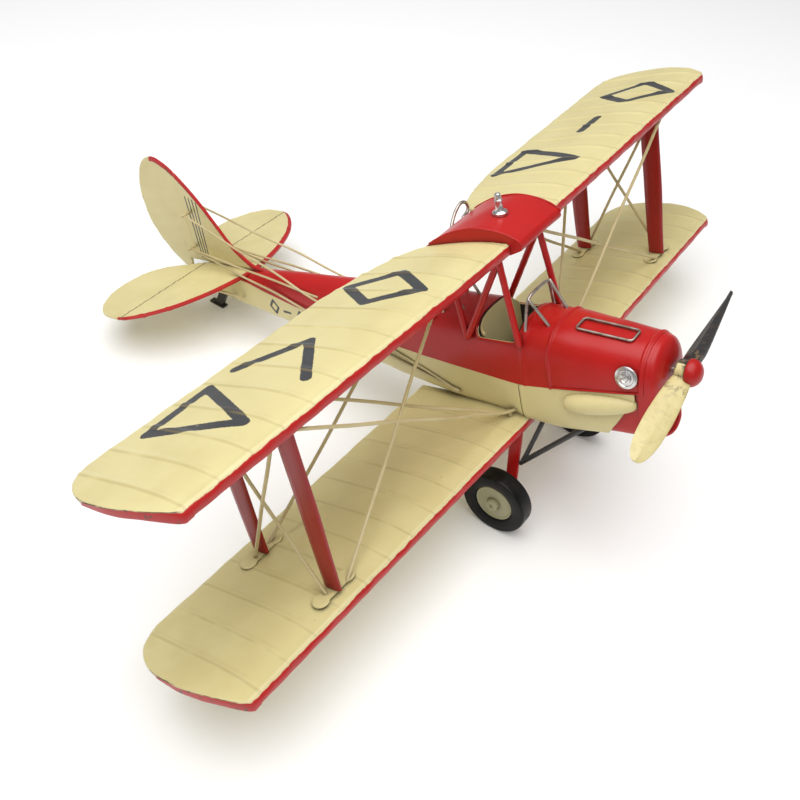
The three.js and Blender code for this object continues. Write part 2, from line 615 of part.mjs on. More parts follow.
function buildStrutsAndWires() {
  SIDES.forEach(([label, side]) => {
    const feet = [['front', FRONT_STRUT_X, FRONT_STRUT_Y], ['rear', REAR_STRUT_X, REAR_STRUT_Y]];
    feet.forEach(([which, x, y]) => {
      const strut = interplaneStrut(side, x, y);
      socketed(`interplane_strut_${which}_${label}`, strut.solid, strut.room, RED);
      keep(`strut_foot_${which}_${label}`, strutFoot(side, x, y), CREAM, true);
    });
    const frontTop = wingBottom(UPPER, FRONT_STRUT_X, FRONT_STRUT_Y);
    const rearTop = wingBottom(UPPER, REAR_STRUT_X, REAR_STRUT_Y);
    const frontFoot = footTop(FRONT_STRUT_X, FRONT_STRUT_Y);
    const rearFoot = footTop(REAR_STRUT_X, REAR_STRUT_Y);
    const outFront = FRONT_STRUT_X + 4.2;
    const outRear = REAR_STRUT_X + 4.2;
    const cross = wires([
      [[outFront, FRONT_STRUT_Y - 1, frontTop + 0.8], [outRear, REAR_STRUT_Y, rearFoot - 0.9]],
      [[outRear, REAR_STRUT_Y + 1, rearTop + 0.6], [outFront, FRONT_STRUT_Y, frontFoot - 0.9]],
    ].map((run) => run.map((p) => at(side, p))), WIRE_R);
    socketed(`incidence_wires_${label}`, cross.solid, cross.room, CREAM);
    const lug = [20.8, 11.6, wingTop(LOWER, 20.8, 11.6) + 1.6];
    const flying = wires([
      [at(side, [148.8, 9.3, wingBottom(UPPER, 148.8, 9.3) + 0.7]), at(side, lug)],
      [at(side, [139, 58.4, wingBottom(UPPER, 139, 58.4) + 0.6]), at(side, lug)],
      [at(side, [lug[0] + 0.6, lug[1], lug[2] + 0.4]), at(side, [20.8, 11.6, lug[2] - 2.4])],
    ], WIRE_R);
    socketed(`flying_wires_${label}`, flying.solid, flying.room, CREAM);
    const landing = wires([
      [at(side, [20.6, 31, 116.6]), at(side, [141.4, 14.2, frontFoot - 0.9])],
      [at(side, [22, 44, 116.4]), at(side, [139, 61.6, rearFoot - 0.9])],
      [at(side, [20.8, 31, 116.4]), at(side, [22, 44, 116.2])],
    ], WIRE_R);
    socketed(`landing_wires_${label}`, landing.solid, landing.room, CREAM);
    const frontHigh = [16.6, 8, 118.2];
    const rearHigh = [16.6, 36.5, 119];
    const frontLow = [18.2, 2.6, 77];
    const rearLow = [18.0, 31, 75.6];
    const cabane = wires([[frontHigh, frontLow], [frontHigh, rearLow], [rearHigh, rearLow]]
      .map((run) => run.map((p) => at(side, p))), STRUT_ROD_R);
    let frame = cabane.solid;
    let frameRoom = cabane.room;
    [frontHigh, rearLow].forEach((joint) => {
      frame = frame.add(ball(at(side, joint), STRUT_ROD_R));
      frameRoom = frameRoom.add(ball(at(side, joint), STRUT_ROD_R + 1.5 * GAP));
    });
    socketed(`cabane_frame_${label}`, frame, frameRoom, RED);
  });
}

function buildTail() {
  const outline = [
    ...smooth([[3.4, 190.6], [12, 192], [28, 196.4], [46, 205], [59, 215.5], [66.8, 225.5]], 12),
    ...smooth([[69, 233], [68, 245], [61.5, 254], [52, 260], [42, 262.6], [30, 261.8], [20, 258],
      [12.5, 249.5]], 14),
    [7.5, 240.5], [2.6, 232],
  ];
  const whole = [...outline, ...outline.map(([x, y]) => [-x, y]).reverse()];
  const low = TAILPLANE_Z - TAIL_SHEET / 2;
  keep('tailplane', prism(whole, 'z', low, low + TAIL_SHEET), CREAM, true);
  const finFoot = TAILPLANE_Z + TAIL_SHEET / 2 + GAP;
  const fin = [
    ...smooth([[182.5, 78.2], [191, 81.2], [203, 91], [211, 102.6], [222, 118.6], [235, 132.8],
      [244, 139], [251, 141], [258.5, 138.6], [264.7, 132], [269.4, 121], [271, 108.6], [269.6, 98],
      [266, 89.4], [259.4, 79.8], [251, 72.4]], 34),
    [244, 72.2], [244, finFoot], [190, finFoot],
  ];
  keep('fin_and_rudder', prism(fin, 'x', -0.8, 0.8), CREAM, true);
  [['upper', 227, 111], ['lower', 231, 89.5]].forEach(([which, y, z]) => {
    const arms = wires([[[-7.6, y + 3, z - 1.5], [7.6, y + 3, z - 1.5]]], 0.9);
    socketed(`rudder_horn_${which}`, arms.solid, arms.room, CREAM);
  });
  SIDES.forEach(([label, side]) => {
    const anchor = at(side, [station(43).half + 1.1, 43, 43.4]);
    const deckEnd = at(side, [9.6, 134, 74.6]);
    const topArm = at(side, [6.6, 230 - 2.1, 109.5]);
    const lowArm = at(side, [6.6, 234 - 2.1, 88]);
    const control = wires([[topArm, anchor], [lowArm, anchor]], 0.65);
    const link = wires([[lowArm, deckEnd]], 0.65);
    const solid = control.solid.add(link.solid).add(ball(lowArm, 1)).add(ball(anchor, 1.1));
    socketed(`tail_wires_${label}`, solid, control.room.add(link.room), CREAM);
    const bracket = wirePath([
      at(side, [station(196).half + 1.3, 196.4, 63]), at(side, [22, 205, TAILPLANE_Z - TAIL_SHEET / 2 - 1.1]),
      at(side, [station(206).half + 1.3, 206, 62])], FRAME_WIRE_R);
    keep(`tailplane_bracket_${label}`, bracket, CREAM);
  });
}

function buildSkid() {
  // A leaf-spring skid; its foot is cut level with the ground that the wheels stand on.
  const c = Math.cos(STANCE_PITCH);
  const s = Math.sin(STANCE_PITCH);
  const ground = -s * WHEEL_Y + c * WHEEL_Z - WHEEL_R * Math.cos(Math.PI / WHEEL_FACETS);
  const groundZ = (y) => (ground + s * y) / c;
  const top = [[219, 59.2], [226.5, 58.6]];
  const heel = [[236.5, groundZ(236.5)], [229.5, groundZ(229.5)]];
  const leaf = prism([top[0], top[1], [231.5, 52.6], heel[0], heel[1], [226, 51.4]], 'x', -1.2, 1.2);
  const pad = prism([[228, groundZ(228)], [238, groundZ(238)], [238.4, groundZ(238) + 1.1],
    [227.5, groundZ(228) + 1.1]], 'x', -2, 2);
  keep('tail_skid', mainBody(leaf.add(pad)), BLACK);
  rooms.push(prism([[218.3, 60.2], [227.4, 59.8], [233, 52.6], [225, 50.6]], 'x', -1.6, 1.6));
}

function buildGear() {
  const stance = new THREE.Matrix4().makeRotationX(STANCE_PITCH);
  SIDES.forEach(([label, side]) => {
    const half = WHEEL_W / 2;
    const r = WHEEL_R;
    const bead = DISC_R + GAP;
    const tyreProfile = [[bead, -half + 0.9], [14.6, -half], [16.4, -half + 0.2], [r, -half + 1],
      [r, half - 1], [16.4, half - 0.2], [14.6, half], [bead, half - 0.9], [bead, -half + 0.9]];
    const discProfile = [[AXLE_R + GAP, -half + 0.8], [4, -half + 0.8], [4.5, -half + 2.4],
      [DISC_R - 0.8, -half + 2.4], [DISC_R, -half + 1.1], [DISC_R, half - 1.3], [9.2, half - 1],
      [8.4, half - 1.6], [4.6, half - 1.2], [3.1, half - 1.1], [3.1, half + 0.8], [2.7, half + 1.3],
      [0, half + 1.4], [0, half + 0.2], [AXLE_R + GAP, half + 0.2], [AXLE_R + GAP, -half + 0.8]];
    const direction = [side, 0, 0];
    const centre = [side * WHEEL_X, WHEEL_Y, WHEEL_Z];
    const spin = (profile, segments) => {
      const solid = turned(profile, [0, 0, 0], direction, segments);
      const matrix = new THREE.Matrix4().makeRotationX(Math.PI / WHEEL_FACETS).premultiply(stance);
      return solid.transform(matrix.elements.slice()).translate(centre);
    };
    keep(`tyre_${label}`, spin(tyreProfile, WHEEL_FACETS), TYRE);
    keep(`wheel_disc_${label}`, spin(discProfile, 24), DISC);
    const legTop = at(side, [17.2, 10, 34.3]);
    const legFoot = at(side, [29.8, WHEEL_Y, WHEEL_Z + 0.5]);
    const axleEnds = [27.9, WHEEL_X + 2.6].map((x) => at(side, [x, WHEEL_Y, WHEEL_Z]));
    keep(`axle_stub_${label}`, rod(...axleEnds, AXLE_R, 18), BLACK);
    const legEnd = ([x, y, z], halfWidth, rise, grow) => [[-1.1, -1], [1.1, -1], [1.1, 1], [-1.1, 1]]
      .map(([dx, dy]) => [x + dx * (1 + grow), y + dy * (halfWidth + grow), z + rise]);
    const leg = (grow) => loft([legEnd(legTop, 3.4, grow, grow), legEnd(legFoot, 3, -4 - grow, grow)]);
    const axleHole = rod([-60, WHEEL_Y, WHEEL_Z], [60, WHEEL_Y, WHEEL_Z], AXLE_R + GAP, 18);
    socketed(`gear_leg_${label}`, leg(0).subtract(axleHole), leg(GAP), RED);
    const low = at(side, [24.6, 6, 14.5]);
    const struts = wires([[at(side, [15.6, -2.6, 34.8]), low], [at(side, [15, -24, 36.6]), low]], 1.2);
    socketed(`gear_radius_rods_${label}`, struts.solid.add(ball(low, 1.3)), struts.room, BLACK);
  });
}

function buildPropeller() {
  const blade = (side, stationsOut) => {
    return loft(stationsOut.map(([r, chord, thick, pitch]) => {
      const beta = THREE.MathUtils.degToRad(pitch);
      const along = [Math.sin(beta), Math.cos(beta)];
      const loop = [];
      for (let i = 0; i < 10; i += 1) {
        const t = (i / 10) * 2 * Math.PI;
        const u = 0.5 * chord * Math.cos(t);
        const v = 0.5 * thick * Math.sin(t);
        const y = u * along[0] - v * along[1];
        const z = u * along[1] + v * along[0];
        loop.push([-side * r, PROP_Y + BLADE_OFFSET + y, side * z]);
      }
      return loop;
    }));
  };
  const hubProfile = [[1.9, -1.9], [5, -1.9], [5.2, 2.2], [1.9, 2.2], [1.9, -1.9]];
  const hub = turned(hubProfile, [0, PROP_Y, 0], [0, 1, 0], 20);
  const bearing = rod([0, -90, 0], [0, -50, 0], 1.9, 16);
  const spinnerRoom = rod([0, -90, 0], [0, PROP_Y - 2, 0], 6.5, 24);
  const blades = blade(1, FULL_BLADE).add(blade(-1, NARROW_BLADE)).subtract(bearing).subtract(spinnerRoom);
  const restAngle = [0, THREE.MathUtils.radToDeg(PROP_REST), 0];
  const place = (solid) => solid.rotate(restAngle).translate([0, 0, THRUST_Z]);
  keep('propeller', place(hub.add(blades)), CREAM);
  const dome = turned([[0, 2.3], [5.9, 2.3], [6.2, 3.2], [5.8, 5], [4.6, 6.6], [2.6, 7.8], [0, 8.3]],
    [0, PROP_Y, THRUST_Z], [0, -1, 0], 24);
  keep('spinner', dome.subtract(rod([0, PROP_Y - 5.2, THRUST_Z], [0, PROP_Y + 5, THRUST_Z], 1.8, 16)), RED);
  const shaftEnds = [[0, PROP_Y - 4.8, THRUST_Z], [0, PROP_Y + 15, THRUST_Z]];
  const shaftRoom = rod([0, PROP_Y + 3.5, THRUST_Z], [0, PROP_Y + 16, THRUST_Z], 1.5 + GAP, 16);
  socketed('propeller_shaft', rod(...shaftEnds, 1.5, 16), shaftRoom, STEEL);
}

buildWings();
buildTank();
buildFuselage();
buildNose();
buildNoseFittings();
buildWindscreens();
buildStrutsAndWires();
buildTail();
buildSkid();
buildGear();
buildPropeller();

// Sockets are cut into the sheets that the struts and wires enter.
const sockets = rooms.reduce((all, room) => all.add(room));

function meshOf({ name, solid, look, takesSockets }) {
  const body = takesSockets ? mainBody(solid.subtract(sockets)) : solid;
  const { vertProperties, triVerts } = body.getMesh();
  const geometry = new THREE.BufferGeometry();
  geometry.setAttribute('position', new THREE.BufferAttribute(new Float32Array(vertProperties), 3));
  geometry.setIndex(Array.from(triVerts));
  const flat = geometry.toNonIndexed();
  flat.computeVertexNormals();
  const mesh = new THREE.Mesh(flat, new THREE.MeshStandardMaterial(look));
  mesh.name = name;
  return mesh;
}

const aircraft = new THREE.Group();
aircraft.name = 'aircraft';
nodes.forEach((node) => aircraft.add(meshOf(node)));
aircraft.rotation.x = -STANCE_PITCH;

const group = new THREE.Group();
group.name = 'biplane_model';
group.add(aircraft);
group.updateMatrixWorld(true);
const bounds = new THREE.Box3().setFromObject(group, true);
const middle = bounds.getCenter(new THREE.Vector3());
aircraft.position.set(-middle.x, -middle.y, -bounds.min.z);
group.updateMatrixWorld(true);

export default group;
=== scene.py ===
import json
import math
import bmesh
import bpy
import numpy as np
from mathutils import Matrix, Vector

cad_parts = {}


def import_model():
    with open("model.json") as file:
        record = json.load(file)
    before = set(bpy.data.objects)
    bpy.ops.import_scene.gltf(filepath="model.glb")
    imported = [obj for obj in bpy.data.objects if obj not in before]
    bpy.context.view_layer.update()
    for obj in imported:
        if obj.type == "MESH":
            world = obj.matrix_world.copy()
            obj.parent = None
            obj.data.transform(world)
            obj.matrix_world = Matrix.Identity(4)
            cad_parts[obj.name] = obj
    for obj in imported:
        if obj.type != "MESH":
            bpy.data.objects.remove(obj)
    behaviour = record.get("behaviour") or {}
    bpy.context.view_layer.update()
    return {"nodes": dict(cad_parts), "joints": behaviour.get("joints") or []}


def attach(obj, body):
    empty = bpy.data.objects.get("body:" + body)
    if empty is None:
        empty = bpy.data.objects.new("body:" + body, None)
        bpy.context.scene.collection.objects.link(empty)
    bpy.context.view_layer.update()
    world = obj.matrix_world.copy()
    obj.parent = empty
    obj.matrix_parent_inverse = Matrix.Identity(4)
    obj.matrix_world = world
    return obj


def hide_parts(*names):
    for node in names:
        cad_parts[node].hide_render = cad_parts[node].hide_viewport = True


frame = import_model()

# ---- the aircraft's own frame: millimetres, nose towards -Y, level ---------------
JOINTS = {j["name"]: j for j in frame["joints"]}
SPIN_AXIS = Vector(JOINTS["propeller_spin"]["axis"])
PITCH = math.atan2(SPIN_AXIS.z, -SPIN_AXIS.y)
COS, SIN = math.cos(PITCH), math.sin(PITCH)
AXLE_Y, AXLE_Z = 12.5, 1.2
AXLE_MM = np.array(JOINTS["wheel_port_spin"]["pos_m"]) * np.array([0, 1000, 1000])
ORIGIN = AXLE_MM - np.array([0.0, AXLE_Y * COS + AXLE_Z * SIN, -AXLE_Y * SIN + AXLE_Z * COS])


def world(points):
    p = np.asarray(points, float)
    x, y, z = p[..., 0], p[..., 1], p[..., 2]
    return (np.stack([x, y * COS + z * SIN, -y * SIN + z * COS], -1) + ORIGIN) / 1000


def spline(points, count):
    """Catmull-Rom curve through points of any dimension."""
    p = np.asarray(points, float)
    p = np.vstack([2 * p[0] - p[1], p, 2 * p[-1] - p[-2]])
    t = np.linspace(0, len(p) - 3, count)
    i = np.minimum(t.astype(int), len(p) - 4)
    f = (t - i)[:, None]
    a, b, c, d = p[i], p[i + 1], p[i + 2], p[i + 3]
    return 0.5 * (2 * b + (c - a) * f + (2 * a - 5 * b + 4 * c - d) * f ** 2
                  + (3 * b - a - 3 * c + d) * f ** 3)


def along(points, x, count=300):
    """Reads a smooth curve of (x, y) points as y at x."""
    c = spline(points, count)
    order = np.argsort(c[:, 0])
    return np.interp(x, c[order, 0], c[order, 1])


def hermite(xs, ys, x):
    """Smooth table lookup with no overshoot to speak of."""
    xs, ys = np.asarray(xs, float), np.asarray(ys, float)
    slope = np.gradient(ys, xs)
    step = np.diff(ys) / np.diff(xs)
    slope[1:-1] = np.where(step[:-1] * step[1:] > 0,
                           2 * step[:-1] * step[1:] / (step[:-1] + step[1:] + 1e-12), 0)
    i = np.clip(np.searchsorted(xs, x) - 1, 0, len(xs) - 2)
    h = xs[i + 1] - xs[i]
    t = (x - xs[i]) / h
    return ((1 + 2 * t) * (1 - t) ** 2 * ys[i] + t * (1 - t) ** 2 * h * slope[i]
            + t ** 2 * (3 - 2 * t) * ys[i + 1] + t ** 2 * (t - 1) * h * slope[i + 1])


def wobble(x, y, scale, seed=0.0):
    """A smooth repeatable unevenness between -1 and 1."""
    return (np.sin(x * scale + 1.7 + seed) * np.cos(y * scale * 1.31 + 0.6 * seed)
            + 0.6 * np.sin(x * scale * 2.3 + y * scale * 1.9 + 2.1 * seed)) / 1.6


def bell(value, width):
    return np.exp(-(value / width) ** 2)


def ramp(value, start, width):
    return np.clip((value - start) / width, 0, 1)


def turn(count):
    """Angles evenly spaced round a full turn."""
    return np.linspace(0, 2 * math.pi, count, endpoint=False)


def signed_power(value, exponent):
    return math.copysign(abs(value) ** exponent, value)


# ---- meshes -----------------------------------------------------------------
def quads(rows, cols, wrap_rows=False, wrap_cols=False):
    faces = []
    for i in range(rows if wrap_rows else rows - 1):
        for j in range(cols if wrap_cols else cols - 1):
            a, b = i * cols + j, i * cols + (j + 1) % cols
            c, d = ((i + 1) % rows) * cols + (j + 1) % cols, ((i + 1) % rows) * cols + j
            faces.append((a, b, c, d))
    return faces


def tidy(me):
    bm = bmesh.new()
    bm.from_mesh(me)
    bmesh.ops.remove_doubles(bm, verts=bm.verts, dist=2e-6)
    bmesh.ops.dissolve_degenerate(bm, edges=bm.edges, dist=1e-7)
    bmesh.ops.recalc_face_normals(bm, faces=bm.faces)
    bm.to_mesh(me)
    bm.free()


def add(name, parts, material, nodes=None, slot=None, body="airframe", sharp=35, attrs=None, clean=True):
    """Makes one object of (vertices in the aircraft frame, faces) parts.

    It takes the place of the nodes given, by default the node of its own name.
    It works out a slot from its paint, whose name Blender may have numbered, but does not store that slot
    anywhere.
    """
    verts, faces, base = [], [], 0
    for v, f in parts:
        v = np.asarray(v, float).reshape(-1, 3)
        verts.append(v)
        faces += [tuple(base + k for k in face) for face in f]
        base += len(v)
    me = bpy.data.meshes.new(name)
    me.from_pydata(world(np.vstack(verts)).tolist(), [], faces)
    for key, values in (attrs or {}).items():
        layer = me.attributes.new(key, "FLOAT", "POINT")
        layer.data.foreach_set("value", np.asarray(values, np.float32).ravel())
    if clean:
        tidy(me)
    me.materials.append(material)
    me.polygons.foreach_set("use_smooth", [True] * len(me.polygons))
    me.set_sharp_from_angle(angle=math.radians(sharp))
    ob = bpy.data.objects.new(name, me)
    bpy.context.scene.collection.objects.link(ob)
    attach(ob, body)
    nodes = (name,) if nodes is None else nodes
    if nodes:
        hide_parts(*nodes)
    paint_name = material.name.split(".")[0]
    slot = slot or SLOTS.get(paint_name, paint_name)
    return ob


def capped(grid, wrap=True):
    """A lofted grid (rows of closed loops) with both ends closed."""
    rows, cols = grid.shape[:2]
    faces = quads(rows, cols, False, wrap)
    faces.append(tuple(range(cols)))
    faces.append(tuple(reversed(range((rows - 1) * cols, rows * cols))))
    return grid.reshape(-1, 3), faces


def sheet_of(outer, thick):
    """A sheet of even thickness under a grid of outer points, with closed rims."""
    du = np.gradient(outer, axis=0)
    dv = np.gradient(outer, axis=1)
    n = np.cross(du, dv)
    n /= np.linalg.norm(n, axis=-1, keepdims=True) + 1e-9
    middle = outer.reshape(-1, 3).mean(0)
    if ((outer - middle) * n)[..., [0, 2]].sum() < 0:
        n = -n
    inner = outer - n * thick
    rows, cols = outer.shape[:2]
    k = rows * cols
    faces = quads(rows, cols)
    faces += [tuple(k + i for i in reversed(f)) for f in quads(rows, cols)]
    rim = [i * cols for i in range(rows)] + [(rows - 1) * cols + j for j in range(1, cols)]
    rim += [i * cols + cols - 1 for i in range(rows - 2, -1, -1)] + list(range(cols - 2, 0, -1))
    faces += [(rim[i], rim[(i + 1) % len(rim)], k + rim[(i + 1) % len(rim)], k + rim[i])
              for i in range(len(rim))]
    return np.vstack([outer.reshape(-1, 3), inner.reshape(-1, 3)]), faces


def tube(points, radius, sides=12, loop=False, smooth=0, uneven=0.0, step=3.0):
    """A round wire along points, with softened bends and rounded ends."""
    p = np.asarray(points, float)
    if smooth:
        p = spline(p, smooth)
    else:
        fine = []
        last = len(p) if loop else len(p) - 1
        for i in range(last):
            a, b = p[i], p[(i + 1) % len(p)]
            n = max(2, int(np.linalg.norm(b - a) / step) + 1)
            fine.append(a + (b - a) * np.linspace(0, 1, n, endpoint=False)[:, None])
        if not loop:
            fine.append(p[-1:])
        p = np.vstack(fine)
        for _ in range(2):
            q = p.copy()
            if loop:
                p = 0.25 * np.roll(q, 1, 0) + 0.5 * q + 0.25 * np.roll(q, -1, 0)
            else:
                p[1:-1] = 0.25 * q[:-2] + 0.5 * q[1:-1] + 0.25 * q[2:]
    s = np.concatenate([[0], np.cumsum(np.linalg.norm(np.diff(p, axis=0), axis=1))])
    sway = np.stack([np.sin(s * 0.11), np.cos(s * 0.083 + 1), np.sin(s * 0.097 + 2)], -1)
    p = p + uneven * sway * (0 if loop else np.sin(np.linspace(0, math.pi, len(p)))[:, None])
    tangent = (np.roll(p, -1, 0) - np.roll(p, 1, 0)) if loop else np.gradient(p, axis=0)
    tangent /= np.linalg.norm(tangent, axis=1, keepdims=True)
    up = np.cross(tangent[0], [0.3, 0.5, 0.81])
    rings = []
    for i, t in enumerate(tangent):
        up = up - t * up.dot(t)
        up /= np.linalg.norm(up)
        side = np.cross(t, up)
        r = radius * (1 + 0.03 * math.sin(s[i] * 0.9))
        a = turn(sides)
        rings.append(p[i] + r * (np.cos(a)[:, None] * up + np.sin(a)[:, None] * side))
    grid = np.array(rings)
    if loop:
        return grid.reshape(-1, 3), quads(len(grid), sides, True, True)
    for end, nxt in ((0, 1), (-1, -2)):
        c, t = p[end], p[end] - p[nxt]
        t = t / np.linalg.norm(t)
        domes = [c + t * radius * 0.55 * math.sin(a) + (grid[end] - c) * math.cos(a) for a in (0.6, 1.15)]
        grid = np.concatenate([np.array(domes[::-1]), grid] if end == 0 else [grid, np.array(domes)])
    return capped(grid)


def lathe(profile, centre, axis, segments):
    """Turns (radius, height) points about an axis."""
    prof = np.asarray(profile, float)
    axis = np.asarray(axis, float) / np.linalg.norm(axis)
    u = np.cross(axis, [0.2, 0.31, 0.93])
    u /= np.linalg.norm(u)
    v = np.cross(axis, u)
    a = turn(segments)
    ring = np.cos(a)[:, None] * u + np.sin(a)[:, None] * v
    grid = np.asarray(centre) + prof[:, 1][:, None, None] * axis + prof[:, 0][:, None, None] * ring
    return grid.reshape(-1, 3), quads(len(prof), segments, False, True)


def cut(ob, outlines, low, high):
    """Cuts holes of the given plan outlines through an object."""
    for outline in outlines:
        n = len(outline)
        pts = [(x, y, low) for x, y in outline] + [(x, y, high) for x, y in outline]
        faces = [(i, (i + 1) % n, n + (i + 1) % n, n + i) for i in range(n)]
        faces += [tuple(reversed(range(n))), tuple(range(n, 2 * n))]
        me = bpy.data.meshes.new("cutter")
        me.from_pydata(world(np.array(pts)).tolist(), [], faces)
        tidy(me)
        cutter = bpy.data.objects.new("cutter", me)
        bpy.context.scene.collection.objects.link(cutter)
        m = ob.modifiers.new("hole", "BOOLEAN")
        m.operation, m.object, m.solver = "DIFFERENCE", cutter, "EXACT"
        bpy.context.view_layer.update()
        made = bpy.data.meshes.new_from_object(ob.evaluated_get(bpy.context.evaluated_depsgraph_get()))
        ob.modifiers.remove(m)
        made.set_sharp_from_angle(angle=math.radians(35))
        ob.data = made
        bpy.data.objects.remove(cutter)


# ---- materials -----------------------------------------------------------------
class Shade:
    """Builds a procedural material."""

    def __init__(self, name):
        self.mat = bpy.data.materials.new(name)
        self.mat.use_nodes = True
        self.tree = self.mat.node_tree
        self.tree.nodes.clear()
        self.co = self.new("ShaderNodeTexCoord").outputs["Object"]

    def new(self, kind, inputs=None, **props):
        n = self.tree.nodes.new(kind)
        for k, v in props.items():
            setattr(n, k, v)
        for k, v in (inputs or {}).items():
            if isinstance(v, bpy.types.NodeSocket):
                self.tree.links.new(v, n.inputs[k])
            else:
                n.inputs[k].default_value = v
        return n

    def noise(self, scale, detail=3.0, rough=0.55, stretch=(1, 1, 1), shift=0.0):
        place = self.new("ShaderNodeMapping",
                         {"Vector": self.co, "Scale": stretch, "Location": (shift, shift, 0)})
        return self.new("ShaderNodeTexNoise", {"Vector": place.outputs[0], "Scale": scale, "Detail": detail,
                                               "Roughness": rough}).outputs["Fac"]

    def attr(self, name):
        return self.new("ShaderNodeAttribute", attribute_name=name).outputs["Fac"]

    def math(self, op, a, b=0.0):
        return self.new("ShaderNodeMath", {0: a, 1: b}, operation=op).outputs[0]

    def plus(self, a, b):
        return self.math("ADD", a, b)

    def times(self, a, b):
        return self.math("MULTIPLY", a, b)

    def inverse(self, value):
        return self.math("SUBTRACT", 1.0, value)

    def distance(self, value):
        return self.math("ABSOLUTE", value)

    def uneven(self, value, grain, amount):
        """The value, moved up and down a little by a noise."""
        return self.plus(value, self.times(self.math("SUBTRACT", grain, 0.5), amount))

    def band(self, value, low, high):
        """0 at low, 1 at high, smooth between."""
        return self.new("ShaderNodeMapRange", {"Value": value, "From Min": low, "From Max": high},
                        interpolation_type="SMOOTHSTEP").outputs["Result"]

    def mix(self, fac, a, b):
        n = self.new("ShaderNodeMix", data_type="RGBA")
        for key, v in ((0, fac), (6, a), (7, b)):
            if isinstance(v, bpy.types.NodeSocket):
                self.tree.links.new(v, n.inputs[key])
            else:
                n.inputs[key].default_value = v if key == 0 else (*v, 1.0)
        return n.outputs[2]

    def finish(self, colour, rough, bumps, metallic=0.0, coat=0.0, specular=0.5):
        normal = None
        for height, distance in bumps:
            data = {"Height": height, "Distance": distance / 1000, "Strength": 1.0}
            if normal is not None:
                data["Normal"] = normal
            normal = self.new("ShaderNodeBump", data).outputs[0]
        data = {"Base Color": colour, "Roughness": rough, "Metallic": metallic, "Coat Weight": coat,
                "Coat Roughness": 0.22, "Specular IOR Level": specular}
        if normal is not None:
            data["Normal"] = normal
        shader = self.new("ShaderNodeBsdfPrincipled", data)
        self.new("ShaderNodeOutputMaterial", {"Surface": shader.outputs[0]})
        return self.mat


CREAM = (0.69, 0.605, 0.300)
RED = (0.46, 0.006, 0.005)


